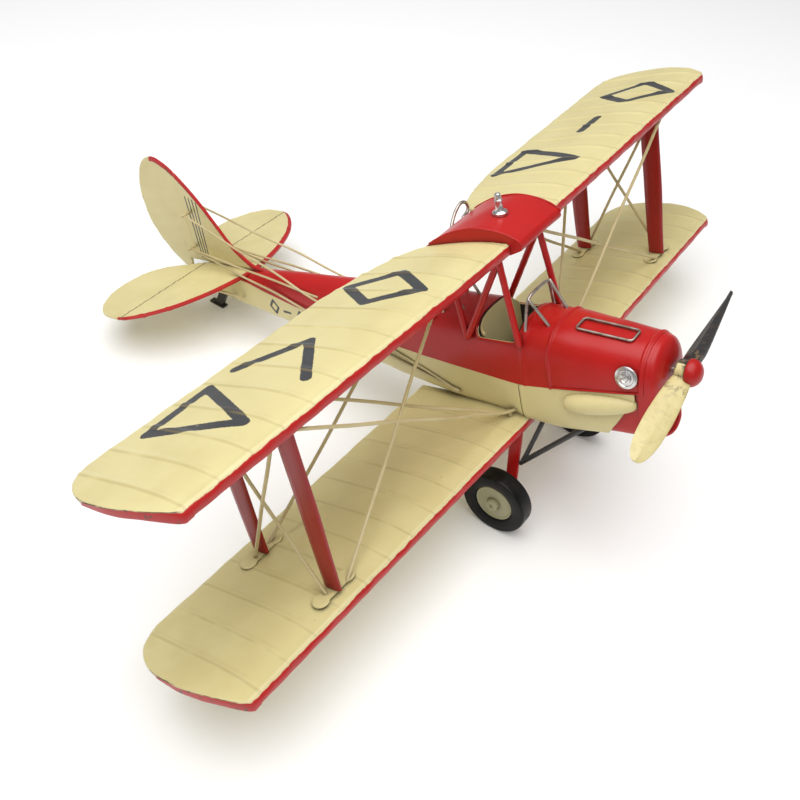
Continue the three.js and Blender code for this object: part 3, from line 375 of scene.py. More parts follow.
def paint(name, base, rough=0.4, edged=False, marked=False, second=None, mottle=0.5, coat=0.15,
          stain_and_shade=(0.16, 0.11, 0.05), gloss=0.5):
    """Old satin paint on sheet metal: uneven tone, small stains, brush lines and a soft orange peel, and
    painted shade where nearby parts hide the surface.

    edged: the attribute edge_mm turns the paint red at the folded rim.
    marked: the attribute mark_mm is a dark painted sign.
    second: the colour where the attribute of that name is above zero, scuffed by the attribute scuff.
    """
    s = Shade(name)
    b = np.array(base)
    cloud = s.band(s.noise(38, 4), 0.35, 0.68)
    patches = s.band(s.noise(13, shift=3), 0.38, 0.66)
    lighter = tuple(np.minimum(b * (1 + 0.10 * mottle) + 0.01, 1))
    darker = tuple(b * np.array([1 - 0.16 * mottle, 1 - 0.20 * mottle, 1 - 0.30 * mottle]))
    tone = s.mix(cloud, tuple(b), darker)
    tone = s.mix(s.times(patches, 0.55), tone, lighter)
    specks = s.band(s.noise(520, 2, 0.7), 0.70, 0.78)
    stain = s.times(specks, s.band(s.noise(70, shift=7), 0.5, 0.7))
    tone = s.mix(s.times(stain, 0.65), tone, stain_and_shade)
    height = s.noise(900, 2)
    brush = s.noise(120, stretch=(9, 0.5, 1))
    # painted shade: ambient occlusion darkens creases, corners and the paint round the feet of parts, with a
    # little noise for dirt
    hidden = s.new("ShaderNodeAmbientOcclusion", {"Distance": 0.0035}, samples=3).outputs["AO"]
    grime_and_painted_shade = s.inverse(s.band(s.plus(hidden, s.times(s.noise(300), 0.25)), 0.42, 0.92))
    if marked:
        ragged = s.uneven(s.attr("mark_mm"), s.noise(900), 0.7)
        sign = s.inverse(s.band(ragged, -0.12, 0.2))
        grey = s.mix(s.noise(160), (0.030, 0.031, 0.034), (0.062, 0.063, 0.066))
        thin = s.band(s.noise(260, shift=11), 0.72, 0.78)
        sign = s.times(sign, s.inverse(s.times(thin, 0.5)))
        tone = s.mix(sign, tone, grey)
    if edged:
        line = s.inverse(s.band(s.distance(s.attr("line_mm")), 0.28, 0.55))
        tone = s.mix(s.times(line, 0.85), tone, (0.07, 0.05, 0.025))
        # painted shade: a dark line along one side of each pressed rib, broken up by noise
        phase = s.math("SUBTRACT", s.math("FRACT", s.plus(s.attr("rib_phase"), 0.5)), 0.5)
        fold = s.inverse(s.band(s.distance(s.math("SUBTRACT", phase, 0.055)), 0.012, 0.06))
        fold = s.times(fold, s.band(s.noise(50, shift=21), 0.25, 0.6))
        tone = s.mix(s.times(fold, 0.34), tone, (0.36, 0.27, 0.11))
        edge = s.attr("edge_mm")
        ragged = s.uneven(edge, s.noise(260, 4), 0.9)
        rim = s.inverse(s.band(ragged, -0.02, 0.22))
        red = s.mix(s.noise(90, 4), tuple(np.array(RED) * 0.82), tuple(np.minimum(np.array(RED) * 1.18, 1)))
        worn = s.times(s.band(s.noise(170, 4, shift=5), 0.58, 0.68), s.times(s.attr("wear"), 0.7))
        red = s.mix(worn, red, (0.045, 0.026, 0.018))
        tone = s.mix(rim, tone, red)
        seam = s.inverse(s.band(s.distance(s.math("SUBTRACT", ragged, 0.35)), 0.0, 0.5))
        tone = s.mix(s.times(seam, 0.22), tone, (0.86, 0.76, 0.55))
        border = s.times(seam, s.band(s.attr("wear"), 0.65, 1.0))
        tone = s.mix(s.times(border, s.band(s.noise(90, shift=31), 0.38, 0.55)), tone,
                     (0.045, 0.030, 0.015))
        chip = s.times(s.band(s.noise(330, shift=2), 0.60, 0.66),
                      s.inverse(s.band(edge, 0.1, 1.3)))
        tone = s.mix(s.times(s.times(chip, s.attr("wear")), 0.9), tone, (0.07, 0.045, 0.02))
    if second is not None:
        dark_side = s.attr("second")
        ragged = s.uneven(dark_side, s.noise(260), 0.8)
        tone = s.mix(s.band(ragged, -0.1, 0.1), tone, second)
        scuffs = s.times(s.band(s.noise(330, 5, 0.65, (1, 1, 0.45), 9), 0.50, 0.60), s.attr("scuff"))
        tone = s.mix(scuffs, tone, (0.17, 0.12, 0.06))
    # painted shade with a little dirt: the hidden places take half of the stain colour
    tone = s.mix(s.times(grime_and_painted_shade, 0.75), tone, tuple(np.array(stain_and_shade) * 0.5))
    roughness = s.plus(rough - 0.07, s.times(s.noise(60, shift=13), 0.16))
    return s.finish(tone, roughness, [(brush, 0.05), (height, 0.022)], coat=coat, specular=gloss)


def bare_metal(name, base, rough, tarnish=(0.16, 0.12, 0.07), lumpy=0.03):
    s = Shade(name)
    spots = s.band(s.noise(240, 4), 0.46, 0.66)
    tone = s.mix(s.noise(60), tuple(np.array(base) * 0.75), base)
    tone = s.mix(s.times(spots, 0.6), tone, tarnish)
    roughness = s.plus(rough, s.times(spots, 0.22))
    return s.finish(tone, roughness, [(s.noise(420), lumpy)], metallic=0.92)


M_WING = paint("cream_wing_paint", CREAM, edged=True, marked=True)
M_CREAM = paint("cream_paint", CREAM)
M_HULL = paint("cream_hull_paint", CREAM, marked=True)
M_RED = paint("red_paint", RED, rough=0.36, mottle=0.8, coat=0.10, stain_and_shade=(0.10, 0.02, 0.015), gloss=0.36)
# painted shade: the struts share the red paint of the rest, drawn at 0.62 of its colour so they look shaded
M_SHADED_STRUT = paint("strut_paint", tuple(0.62 * c for c in RED), rough=0.34, mottle=1.0,
                stain_and_shade=(0.05, 0.01, 0.008), gloss=0.36)
M_BLADE = paint("blade_paint", CREAM, second=(0.022, 0.021, 0.022), mottle=0.9)
M_BLACK = paint("black_paint", (0.020, 0.019, 0.019), rough=0.42, stain_and_shade=(0.10, 0.08, 0.06))
M_DISC = paint("wheel_paint", (0.34, 0.32, 0.19), rough=0.45)
# painted shade: the wires, horns and brackets carry the cream paint, drawn about four fifths as bright so
# they look shaded
M_SHADED_WIRE = paint("shaded_cream_wire_paint", (0.56, 0.47, 0.25), rough=0.42, mottle=1.2)
M_METAL = bare_metal("dull_wire", (0.52, 0.47, 0.42), 0.30)
M_SILVER = bare_metal("plated", (0.74, 0.73, 0.72), 0.22, tarnish=(0.30, 0.29, 0.27), lumpy=0.05)


def rubber():
    s = Shade("tyre_rubber")
    dust = s.band(s.noise(110, 4), 0.50, 0.72)
    tone = s.mix(s.times(dust, 0.5), (0.004, 0.004, 0.0045), (0.016, 0.014, 0.012))
    return s.finish(tone, s.plus(0.34, s.times(dust, 0.25)), [(s.noise(800), 0.03)], specular=0.20)


M_TYRE = rubber()

# the slot of each paint that isn't named after its slot
SLOTS = {"cream_wing_paint": "cream_paint", "cream_hull_paint": "cream_paint",
         "shaded_cream_wire_paint": "cream_paint", "blade_paint": "cream_paint", "strut_paint": "red_paint",
         "dull_wire": "bare_wire", "plated": "plated_fitting"}
GAP = 0.3
SHEET = 0.7
# a distance at which no paint line shows
FAR = 9.0
RIB_PITCH, FIRST_RIB = 15.2, 4.5


def paint_layout(like, edge_mm, wear, mark_mm=FAR, line_mm=FAR, rib_phase=0.5):
    """The values the wing paint reads, one for each point of an array of like's shape.

    edge_mm, mark_mm and line_mm are distances to the red rim, a painted sign and a hinge line.
    FAR keeps them away.
    """
    values = {"edge_mm": edge_mm, "wear": wear, "mark_mm": mark_mm, "line_mm": line_mm,
              "rib_phase": rib_phase}
    return {key: value + np.zeros(like.shape) for key, value in values.items()}


# ---- wings -----------------------------------------------------------------
# lead and trail: where an edge is at the root, and how far it moves for each millimetre of span
UPPER = dict(root=19.2, tip=209.5, lead=(3.9, 0.031), trail=(64.5, 0.045), z=121.6, droop=0.004, drop=4.0,
             edge=4.8, camber=2.4)
LOWER = dict(root=19.4, tip=213.0, lead=(3.9, 0.033), trail=(70.0, 0.024), z=33.6, droop=0.012, drop=-2.2,
             edge=4.5, camber=2.6)
SIDES = (("port", 1), ("starboard", -1))


def lead(w, x):
    return w["lead"][0] + w["lead"][1] * (np.abs(x) - w["root"])


def trail(w, x):
    return w["trail"][0] + w["trail"][1] * (np.abs(x) - w["root"])


def share(w, x, y):
    return np.clip((y - lead(w, x)) / (trail(w, x) - lead(w, x)), 0, 1)


def middle_z(w, x, y):
    t = share(w, x, y)
    fall = w["droop"] * (np.abs(x) - w["root"])
    return w["z"] - fall - w["drop"] * t + w["camber"] * np.sin(math.pi * t ** 0.62)


def half_depth(w, x, y):
    t = share(w, x, y)
    return 0.5 * w["edge"] * (1 - 0.78 * t ** 0.8) + 0.35 * np.sin(math.pi * np.minimum(1, t * 1.6))


def top_z(w, x, y):
    return middle_z(w, x, y) + half_depth(w, x, y)


def bottom_z(w, x, y):
    return middle_z(w, x, y) - half_depth(w, x, y)


def segment(x, y, a, b, half):
    a, b = np.array(a, float), np.array(b, float)
    d = b - a
    t = np.clip(((x - a[0]) * d[0] + (y - a[1]) * d[1]) / d.dot(d), 0, 1)
    return np.hypot(x - a[0] - t * d[0], y - a[1] - t * d[1]) - half


def shape_of(x, y, corners, half=2.3, closed=True):
    """Signed distance to a stroked outline."""
    n = len(corners)
    runs = [segment(x, y, corners[i], corners[(i + 1) % n], half) for i in range(n if closed else n - 1)]
    return np.minimum.reduce(runs)


def wing_signs(side, x, y):
    """Plain painted shapes on the top of the upper wing: lozenges, triangles, a chevron and a bar."""
    def lozenge(cx, cy, w, h):
        return shape_of(x, y, [(cx, cy - h), (cx + w, cy), (cx, cy + h), (cx - w, cy)])

    def triangle(cx, cy, w, h):
        return shape_of(x, y, [(cx - w, cy + h), (cx + w, cy + h), (cx, cy - h)])

    def chevron(cx, cy, w, h):
        return shape_of(x, y, [(cx - w, cy - h), (cx + w, cy), (cx - w, cy + h)], closed=False)

    def bar(cx, cy, w):
        return segment(x, y, (cx - w, cy), (cx + w, cy), 2.4)

    if side < 0:
        return np.minimum.reduce([lozenge(-58, 38, 13, 21), chevron(-114, 41, 12, 20),
                                  triangle(-156, 43, 16, 19)])
    return np.minimum.reduce([triangle(76, 40, 15, 19), bar(123, 39, 9), lozenge(168, 34, 14, 20)])


TANK_FRONT = {1: 22.0, -1: 13.0}
ROOT_CUT = [(18.9, 44.4), (22, 49.5), (30, 55.5), (42, 60.5), (60, 64.8), (84, 70)]


def tank_edge(side, y):
    """Distance of the tank's leaning edge from the middle line."""
    front = TANK_FRONT[side]
    return front + (np.clip(y, -4, 46) - 3) / 41 * (19.3 - front) - GAP


def wing_edges(w, x):
    """Front and rear edge of a panel at each x: straight edges that run into the rounded tip."""
    tip = w["tip"]
    f, r = lead(w, tip), trail(w, tip)
    front_curve = [(tip - 16, f - 0.6), (tip - 10, f - 0.2), (tip - 6.4, f + 5), (tip - 2.6, f + 16),
                   (tip - 0.3, f + 28), (tip, f + 38)]
    rear_curve = [(tip - 34, r), (tip - 20, r - 0.3), (tip - 10, r - 3.2), (tip - 4.5, r - 9),
                  (tip - 1.2, r - 17),
                  (tip, r - 27)]
    front = np.maximum(lead(w, x), np.where(x > tip - 16, along(front_curve, x), 0))
    rear = np.minimum(trail(w, x), np.where(x > tip - 30, along(rear_curve, x), 999))
    if w is UPPER:
        cut_end = ROOT_CUT[-1][0]
        rear = np.minimum(rear, np.where(x < cut_end, along(ROOT_CUT, x), 999))
    return front, np.maximum(rear, front + 4.0)


def wing_skins(w, side, X, Y, edge, inward):
    """Heights of the top and lower skin: pressed ribs, a folded front lip and slightly uneven edges."""
    root, tip = w["root"], w["tip"]
    ribs = np.zeros_like(X)
    for k in range(1, 13):
        line = root + RIB_PITCH * k - FIRST_RIB + 0.010 * (Y - 30)
        ribs += bell(X - line, 1.15)
    fade = ramp(Y - lead(w, X), 3.5, 6) * ramp(trail(w, X) - Y, 0.5, 3)
    relief = 0.52 * ribs * fade + 0.16 * wobble(X * side, Y, 0.06, w["z"])
    lip = 0.35 * bell(Y - lead(w, X) - 1.3, 1.1)
    round_off = 0.5 * np.exp(-inward / 0.55)
    wavy = 0.22 * wobble(X, Y, 0.21, side) * np.exp(-np.clip(edge, 0, 9) / 3)
    top = top_z(w, X, Y) + relief + lip - round_off + wavy
    low = bottom_z(w, X, Y) - 0.7 * relief + round_off + wavy
    swell = 0.35 * (1 + wobble(X, Y, 0.16, 2.0))
    return top, low - swell * np.exp(-inward / 2.5) * (X > tip - 14)


def wing_rim(w, grid, inward, front, rear):
    """Distance to the red rim: the front edge and the front of the tip are red, the rear edge is cream."""
    tip = w["tip"]
    rear_of_tip = trail(w, tip) - 17
    rim = np.concatenate([inward, np.full((len(grid), 1), 3.0), inward[:, ::-1] - 2.2,
                          np.full((len(grid), 3), -2.0)], 1)
    from_front = grid[..., 1] - front[:, None]
    is_rear = (rear[:, None] - grid[..., 1] < from_front) & (np.abs(grid[..., 0]) < tip - 12)
    rim = np.where(is_rear, np.maximum(rim, 3.0), rim) + 3 * ramp(grid[..., 1], rear_of_tip, 3)
    rim[-1, :] = np.where(grid[-1, :, 1] < rear_of_tip, -2.0, 2.0)
    rim[-2, :] = np.minimum(rim[-2, :], np.where(grid[-2, :, 1] < rear_of_tip, -0.2, 2.0))
    return rim


def wing(name, w, side):
    """One folded wing panel with its paint layout."""
    tip = w["tip"]
    inner = 19.3 if w is UPPER else 13.5
    x = np.unique(np.concatenate([np.linspace(inner, tip - 17, 200),
                                  tip - 17 * (1 - np.sin(np.linspace(0, math.pi / 2, 48)))]))
    front, rear = wing_edges(w, x)
    n = 54
    t = 0.5 - 0.5 * np.cos(np.linspace(0, math.pi, n))
    t = 0.55 * t + 0.45 * np.linspace(0, 1, n)
    X = x[:, None] * np.ones(n)
    Y = front[:, None] + t * (rear - front)[:, None]
    if w is UPPER:
        near = np.clip(1 - (X - inner) / 30, 0, 1)
        X = X + near * (tank_edge(side, Y) + GAP - inner)
    edge = np.minimum(Y - front[:, None], np.minimum(rear[:, None] - Y, 40))
    inward = np.minimum(edge, np.clip((tip - X) * 0.9, 0, 40) * 1.6)
    top, low = wing_skins(w, side, X, Y, edge, inward)
    loops = [np.stack([X[:, j], Y[:, j], top[:, j]], -1) for j in range(n)]
    loops.append(np.stack([X[:, -1], rear + 0.15, top[:, -1] + 0.5 * (low[:, -1] - top[:, -1])], -1))
    loops += [np.stack([X[:, j], Y[:, j], low[:, j]], -1) for j in range(n - 1, -1, -1)]
    uneven = 0.25 * wobble(X[:, 0], front * 0, 0.23, side)
    for up, ahead in ((0.2, 0.35), (0.5, 0.5), (0.82, 0.3)):
        height = low[:, 0] + up * (top[:, 0] - low[:, 0])
        loops.append(np.stack([X[:, 0], front - ahead - uneven, height], -1))
    grid = np.stack(loops, 1)
    grid[..., 0] *= side
    across = np.abs(grid[..., 0])
    mark = np.full(grid.shape[:2], FAR)
    if w is UPPER:
        mark[:, :n] = wing_signs(side, grid[:, :n, 0], grid[:, :n, 1])
    wear = ramp(across, tip - 14, 6) * 0.9 + 0.18
    rib_phase = (across - w["root"] + FIRST_RIB - 0.01 * (grid[..., 1] - 30)) / RIB_PITCH
    layout = paint_layout(across, wing_rim(w, grid, inward, front, rear), wear, mark, rib_phase=rib_phase)
    add(name, [capped(grid)], M_WING, attrs=layout, sharp=50, clean=False)


for label, side in SIDES:
    wing(f"upper_wing_{label}", UPPER, side)
    wing(f"lower_wing_{label}", LOWER, side)

# ---- fuselage --------------------------------------------------------------
# half width, lower edge, colour split, top and squareness of the section at each station
STATION_Y = np.array([-60.4, -59.7, -58.0, -55.4, -37.0, -10.0, 6.0, 28.0, 50.0, 78.0, 110.0, 142.0, 175.0,
                      198.0, 243.0])
HALF = [9.6, 12.4, 14.8, 16.3, 17.7, 19.0, 18.8, 18.4, 17.6, 15.9, 13.5, 11.2, 8.8, 7.1, 2.2]
BOTTOM = [41.6, 39.2, 37.9, 37.2, 36.2, 33.6, 34.0, 35.6, 37.4, 40.4, 45.0, 50.0, 53.8, 56.2, 61.0]
SPLIT = [64.4, 64.2, 63.9, 63.6, 61.2, 57.8, 56.0, 57.0, 58.0, 59.3, 61.6, 64.6, 69.8, 73.8, 73.0]
TOP = [76.6, 79.2, 81.2, 82.4, 83.4, 84.4, 84.6, 84.4, 84.2, 83.9, 83.2, 81.6, 78.9, 76.4, 75.2]
POWER = [2.0, 2.1, 2.2, 2.3, 2.7, 3.2, 3.2, 3.1, 2.9, 2.5, 2.1, 1.9, 1.9, 2.0, 2.0]


def half_at(y):
    return float(hermite(STATION_Y, HALF, y))


def split_at(y):
    return float(hermite(STATION_Y, SPLIT, y))


def section(y, upper, count, grow=0.0):
    """Points evenly spaced round the upper or lower half of the fuselage, port to starboard."""
    half, bottom, split, top, power = [float(hermite(STATION_Y, v, y))
                                       for v in (HALF, BOTTOM, SPLIT, TOP, POWER)]
    a = np.linspace(0, math.pi, 361)
    e = power if upper else 7.0
    height = (top - split) if upper else (split - bottom)
    across = np.sign(np.cos(a)) * np.abs(np.cos(a)) ** (2 / e)
    up = np.abs(np.sin(a)) ** (2 / e)
    x, z = (half + grow) * across, split + (1 if upper else -1) * (height + grow) * up
    s = np.concatenate([[0], np.cumsum(np.hypot(np.diff(x), np.diff(z)))])
    s /= s[-1]
    k = np.linspace(0, 1, count)
    return np.stack([np.interp(k, s, x), np.full(count, y), np.interp(k, s, z)], -1)


def sections(ys, upper, count, grow=0.0):
    return np.array([section(y, upper, count, grow) for y in ys])


def deck_z(x, y):
    half, split, top, power = [hermite(STATION_Y, v, y) for v in (HALF, SPLIT, TOP, POWER)]
    return split + (top - split) * (1 - np.clip(np.abs(x) / half, 0, 1) ** power) ** (1 / power)


def swollen(rows, rise):
    """Moves each row outwards from the fuselage's middle line by rise(y)."""
    out = rows.copy()
    for i, row in enumerate(rows):
        y = row[0, 1]
        centre = np.array([0, y, split_at(y)])
        d = row - centre
        out[i] = row + d / (np.linalg.norm(d, axis=1, keepdims=True) + 1e-6) * rise(y)
    return out


def bump(y, centre, width, height):
    return height * math.exp(-((y - centre) / width) ** 4)


def cockpit(from_y, to_y, half, r=2.6):
    pts = []
    for cx, cy, start in ((half - r, to_y - r, 0), (r - half, to_y - r, 0.5), (r - half, from_y + r, 1),
                          (half - r, from_y + r, 1.5)):
        pts += [(cx + r * math.cos(a), cy + r * math.sin(a))
                for a in (np.linspace(0, 0.5, 8) + start) * math.pi]
    return pts


FRONT_HOLE = cockpit(4.6, 27.5, 16.8)
REAR_HOLE = cockpit(51.5, 74, 13.6)
DECK_FRONT, DECK_REAR, COWL_FRONT, COWL_REAR, NOSE_TURN = -10.6, 197.2, -55.3, -10.2, -57.0
REAR_BEAD = dict(centre=-11.4, width=0.75, height=0.75)
FRONT_BEAD = dict(centre=-53.9, width=0.7, height=0.55)
DECK_SEAM = dict(centre=2.4, width=1.0, height=0.35)
DECK_GROOVE = dict(centre=88, width=0.6, height=-0.12)

rows = sections(np.linspace(DECK_FRONT, DECK_REAR, 220), True, 72)
rows = swollen(rows, lambda y: bump(y, **DECK_SEAM) + bump(y, **DECK_GROOVE) + 0.10 * math.sin(y * 0.13))
rows[..., 0] += 0.08 * wobble(rows[..., 1], rows[..., 2], 0.14)
deck = add("fuselage_top_deck", [sheet_of(rows, SHEET)], M_RED)
cut(deck, [FRONT_HOLE, REAR_HOLE], 68, 110)


def deck_height(x, y):
    return float(deck_z(np.array(x), np.array(y)))


def hole_edge(hole, wide, long, depth_at, lift, radius, sides):
    """A wire that runs round a cockpit opening, scaled about its middle."""
    middle = 0.5 * (hole[0][1] + hole[-1][1])
    points = [(x * wide, middle + (y - middle) * long, deck_height(x * depth_at, y) + lift)
              for x, y in hole]
    return tube(points, radius, sides, loop=True)


HOLES = (FRONT_HOLE, REAR_HOLE)
rims = [hole_edge(hole, 1.012, 1.0, 0.985, 0.15, 0.55, 10) for hole in HOLES]
add("cockpit_rims", rims, M_RED, nodes=())
edges = [hole_edge(hole, 0.972, 0.975, 0.972, -0.25, 0.42, 8) for hole in HOLES]
add("cockpit_bare_edges", edges, M_CREAM, nodes=())

rows = sections(np.linspace(COWL_FRONT, COWL_REAR, 150), True, 72)
rows = swollen(rows, lambda y: bump(y, **REAR_BEAD) + bump(y, **FRONT_BEAD) + 0.08 * math.sin(y * 0.3))
folds = []
for _, side in SIDES:
    line = [(side * (half_at(y) + 0.15), y, split_at(y) + 0.75)
            for y in np.linspace(REAR_BEAD["centre"], FRONT_BEAD["centre"], 24)]
    folds.append(tube(line, 0.5, 10))
add("cowl_top", [sheet_of(rows, SHEET), *folds], M_RED)


def nose_rows(upper, last_y):
    """The upper or lower half of the nose: straight to NOSE_TURN, then rounded in to the middle."""
    ys = np.linspace(last_y, NOSE_TURN, 10)
    rows = [section(y, upper, 60, grow=-0.12 if y > COWL_FRONT - 0.2 else 0.0) for y in ys]
    rim = section(NOSE_TURN, upper, 60)
    centre = np.array([0, 0, 64.4])
    for a in np.linspace(0.12, math.pi / 2, 16):
        row = centre + (rim - centre) * np.array([1, 0, 1]) * (math.cos(a) ** 0.55 * 0.999 + 0.001)
        row[:, 1] = NOSE_TURN - 4.0 * math.sin(a)
        rows.append(row)
    return np.array(rows)


add("nose_cap", [sheet_of(nose_rows(True, -55.0), SHEET)], M_RED)

front = nose_rows(False, -52.6)
inner_skin = sections(np.linspace(5.9, -52.4, 50), False, 60, grow=-1.0)
lip = spline([(-11.4, -57.6, 40.6), (-7.4, -58.8, 37.4), (-2, -59.8, 35.4), (3, -59.8, 35.2),
              (8, -59.3, 37.0), (11.4, -57.9, 41)], 30)
flange = np.array([lip * (1 - 0.5 * k) + np.array([0, -57.0, 46.0]) * 0.5 * k
                   for k in np.linspace(0, 1, 8)])
add("lower_nose", [sheet_of(front, 0.9), sheet_of(inner_skin, SHEET), tube(lip, 0.95, 12),
                   sheet_of(flange, 0.6)], M_RED)


def panel_rows(side):
    """The cream flank panel: from the split line down to its own lower edge."""
    rows = []
    for y in np.linspace(5.8, -51.3, 84):
        full = section(y, False, 240)
        full = full if side > 0 else full[::-1]
        z_low = float(np.interp(y, [-51.3, -49, -44, -37.4, -34, -32], [60.3, 56.8, 49, 39.1, 34, 30]))
        keep = np.abs(full[:, 0]) > 9.2
        half = full[:120]
        ok = (half[:, 2] > z_low) & keep[:120]
        end = max(3, int(np.argmin(ok)) if not ok.all() else 119)
        idx = np.linspace(0, end, 46)
        rows.append(np.stack([np.interp(idx, np.arange(120), half[:, k]) for k in range(3)], -1))
    return np.array(rows)


def pod(side):
    """The pressed blister on the flank panel: blunt at the back, finer to the front."""
    rings = []
    for t in np.linspace(0.0, 1.0, 40):
        a = math.pi * t
        y = -34.9 + 17.1 * math.cos(a)
        size = math.sin(a) ** 0.55 * (1.0 - 0.36 * t ** 1.3)
        z = 54.7 - 0.14 * (y + 35)
        base_x = half_at(y) - 1.2
        loop = [(side * (base_x + 7.2 * size * max(math.cos(b), -0.2)), y, z + 6.2 * size * math.sin(b))
                for b in turn(36)]
        rings.append(loop)
    return capped(np.array(rings))


for label, side in SIDES:
    rows = swollen(panel_rows(side), lambda y: 0.12 + bump(y, 4.6, 0.8, 0.25))
    add(f"side_panel_{label}", [sheet_of(rows, SHEET), pod(side)], M_CREAM)

ys = np.concatenate([np.linspace(6.2, 121, 110), np.linspace(121.5, 180, 118), np.linspace(181, 197.5, 16)])
rows = sections(ys, False, 80)
rows = swollen(rows, lambda y: bump(y, 7.2, 0.9, 0.22) + 0.07 * math.sin(y * 0.19))
tail_low = sections(np.linspace(197.5, 243, 40), False, 80)
tail_low[..., 2] = np.minimum(tail_low[..., 2], 75.2)
parts = [sheet_of(rows, SHEET), sheet_of(tail_low, SHEET)]
points = np.vstack([p[0] for p in parts])
sign = np.full(len(points), FAR)
y, z = points[:, 1], points[:, 2]
for k, cy in enumerate((128, 139, 150, 161, 171)):
    cz = split_at(cy) - 6.4 - 0.02 * (cy - 128)
    if k % 2:
        d = segment(y, z, (cy - 2.6, cz), (cy + 2.6, cz), 0.7)
    else:
        d = shape_of(y, z, [(cy, cz - 4.2), (cy + 3.2, cz), (cy, cz + 4.2), (cy - 3.2, cz)], 0.75)
    sign = np.minimum(sign, np.where(np.abs(points[:, 0]) > 4, d, FAR))
add("fuselage_lower_shell", parts, M_HULL, attrs={"mark_mm": sign}, clean=False)

# ---- the tank on the centre section ------------------------------------------------
profile = spline([(-1.4, 123.4), (-0.9, 125.0), (0.6, 126.4), (7, 129.4), (19, 131.1), (31, 128.6),
                  (40, 124.2), (44.6, 121.2)], 60)
under = np.array([(45, 120.2), (44.6, 119.3), (20, 118.4), (4, 119.3), (-0.8, 121.4), (-1.5, 122.4)])
loop = np.vstack([profile, under])
shares = np.concatenate([[0, 0.01, 0.02], np.linspace(0.035, 0.965, 40), [0.98, 0.99, 1]])
centre = loop.mean(0)
grid = []
for k in shares:
    shrink = 1 - 0.012 * max(0, (abs(k - 0.5) - 0.48) / 0.02) ** 2
    l = centre + (loop - centre) * shrink
    x = -tank_edge(-1, l[:, 0]) * (1 - k) + tank_edge(1, l[:, 0]) * k
    dent = 0.12 * np.sin(l[:, 0] * 0.3 + x * 0.2)
    grid.append(np.stack([x, l[:, 0], l[:, 1] + dent], -1))
lips = [tube([(side * (tank_edge(side, y) - 0.35), y, z + 0.05) for y, z in profile[4:58:3]], 0.45, 10)
        for _, side in SIDES]
add("center_tank", [capped(np.array(grid)), *lips], M_RED, sharp=42)
FILLER = [(0.001, -1.5), (3.2, -0.4), (3.5, 0.2), (3.45, 0.9), (2.9, 1.35), (2.1, 1.7), (1.75, 2.4),
          (1.7, 5.6), (1.85, 6.0), (1.8, 6.6), (1.5, 6.9), (1.55, 8.2), (1.3, 9.2), (0.8, 9.6), (0.001, 9.7)]
add("tank_filler_cap", [lathe(FILLER, (0.8, 16, 131.1), (0, 0, 1), 40)], M_SILVER)
HOOK = [(3.2, 46.2, 119.4), (6, 46.5, 122.4), (9.3, 46.6, 125.2), (13.5, 46.6, 126.9), (17, 46.6, 125.8),
        (18.4, 46.5, 123), (17, 46.4, 120.9), (13, 46.2, 120.1)]
add("tank_lifting_hook", [tube(HOOK, 0.8, 12, smooth=60)], M_METAL)

# ---- struts and bracing ------------------------------------------------------------
BRACE_RADIUS, TAIL_WIRE_RADIUS, CABANE_RADIUS = 0.8, 0.6, 1.55
FRONT_X, FRONT_Y, REAR_X, REAR_Y = 146.8, 16.6, 143.5, 61.2


def under_upper(x, y):
    return float(bottom_z(UPPER, x, y))


def on_lower(x, y):
    return float(top_z(LOWER, x, y))


def foot_top(x, y):
    return max(on_lower(x, y + d) for d in (-3.5, 3.5)) + GAP + 0.8


def strut(side, x, y):
    low, high = foot_top(x, y) + 0.3, min(under_upper(x, y + d) for d in (-5, 0, 5)) + 0.3
    rows = []
    for t in np.linspace(0, 1, 26):
        chord, thick = 9 + 1.5 * min(1, t * 2.2), 2.6
        loop = []
        for a in turn(28):
            fold = 0.25 * math.exp(-((math.cos(a) - 0.45) / 0.12) ** 2)
            loop.append((side * x + signed_power(math.sin(a), 0.7) * (0.5 * thick + fold),
                         y + 0.5 * chord * math.cos(a) + 0.12 * math.sin(9 * t), low + t * (high - low)))
        rows.append(loop)
    return capped(np.array(rows))


def plate(side, x, y):
    """The flat two-lobed foot that lies on the wing under a strut."""
    outline = []
    for a in np.linspace(-2.3, 2.3, 22):
        outline.append((8 + 3.6 * math.cos(a), 3.6 * math.sin(a)))
    for a in np.linspace(math.pi - 2.3, math.pi + 2.3, 22):
        outline.append((-8 + 3.6 * math.cos(a), 3.6 * math.sin(a)))
    pts = np.array(outline)
    top = foot_top(x, y)
    rings = [np.column_stack([side * x + pts[:, 0] * k, y + pts[:, 1] * k, np.full(len(pts), top + dz)])
             for k, dz in ((0.96, -0.8), (1.0, -0.6), (1.0, -0.2), (0.97, 0.0), (0.9, 0.02))]
    return capped(np.array(rings))


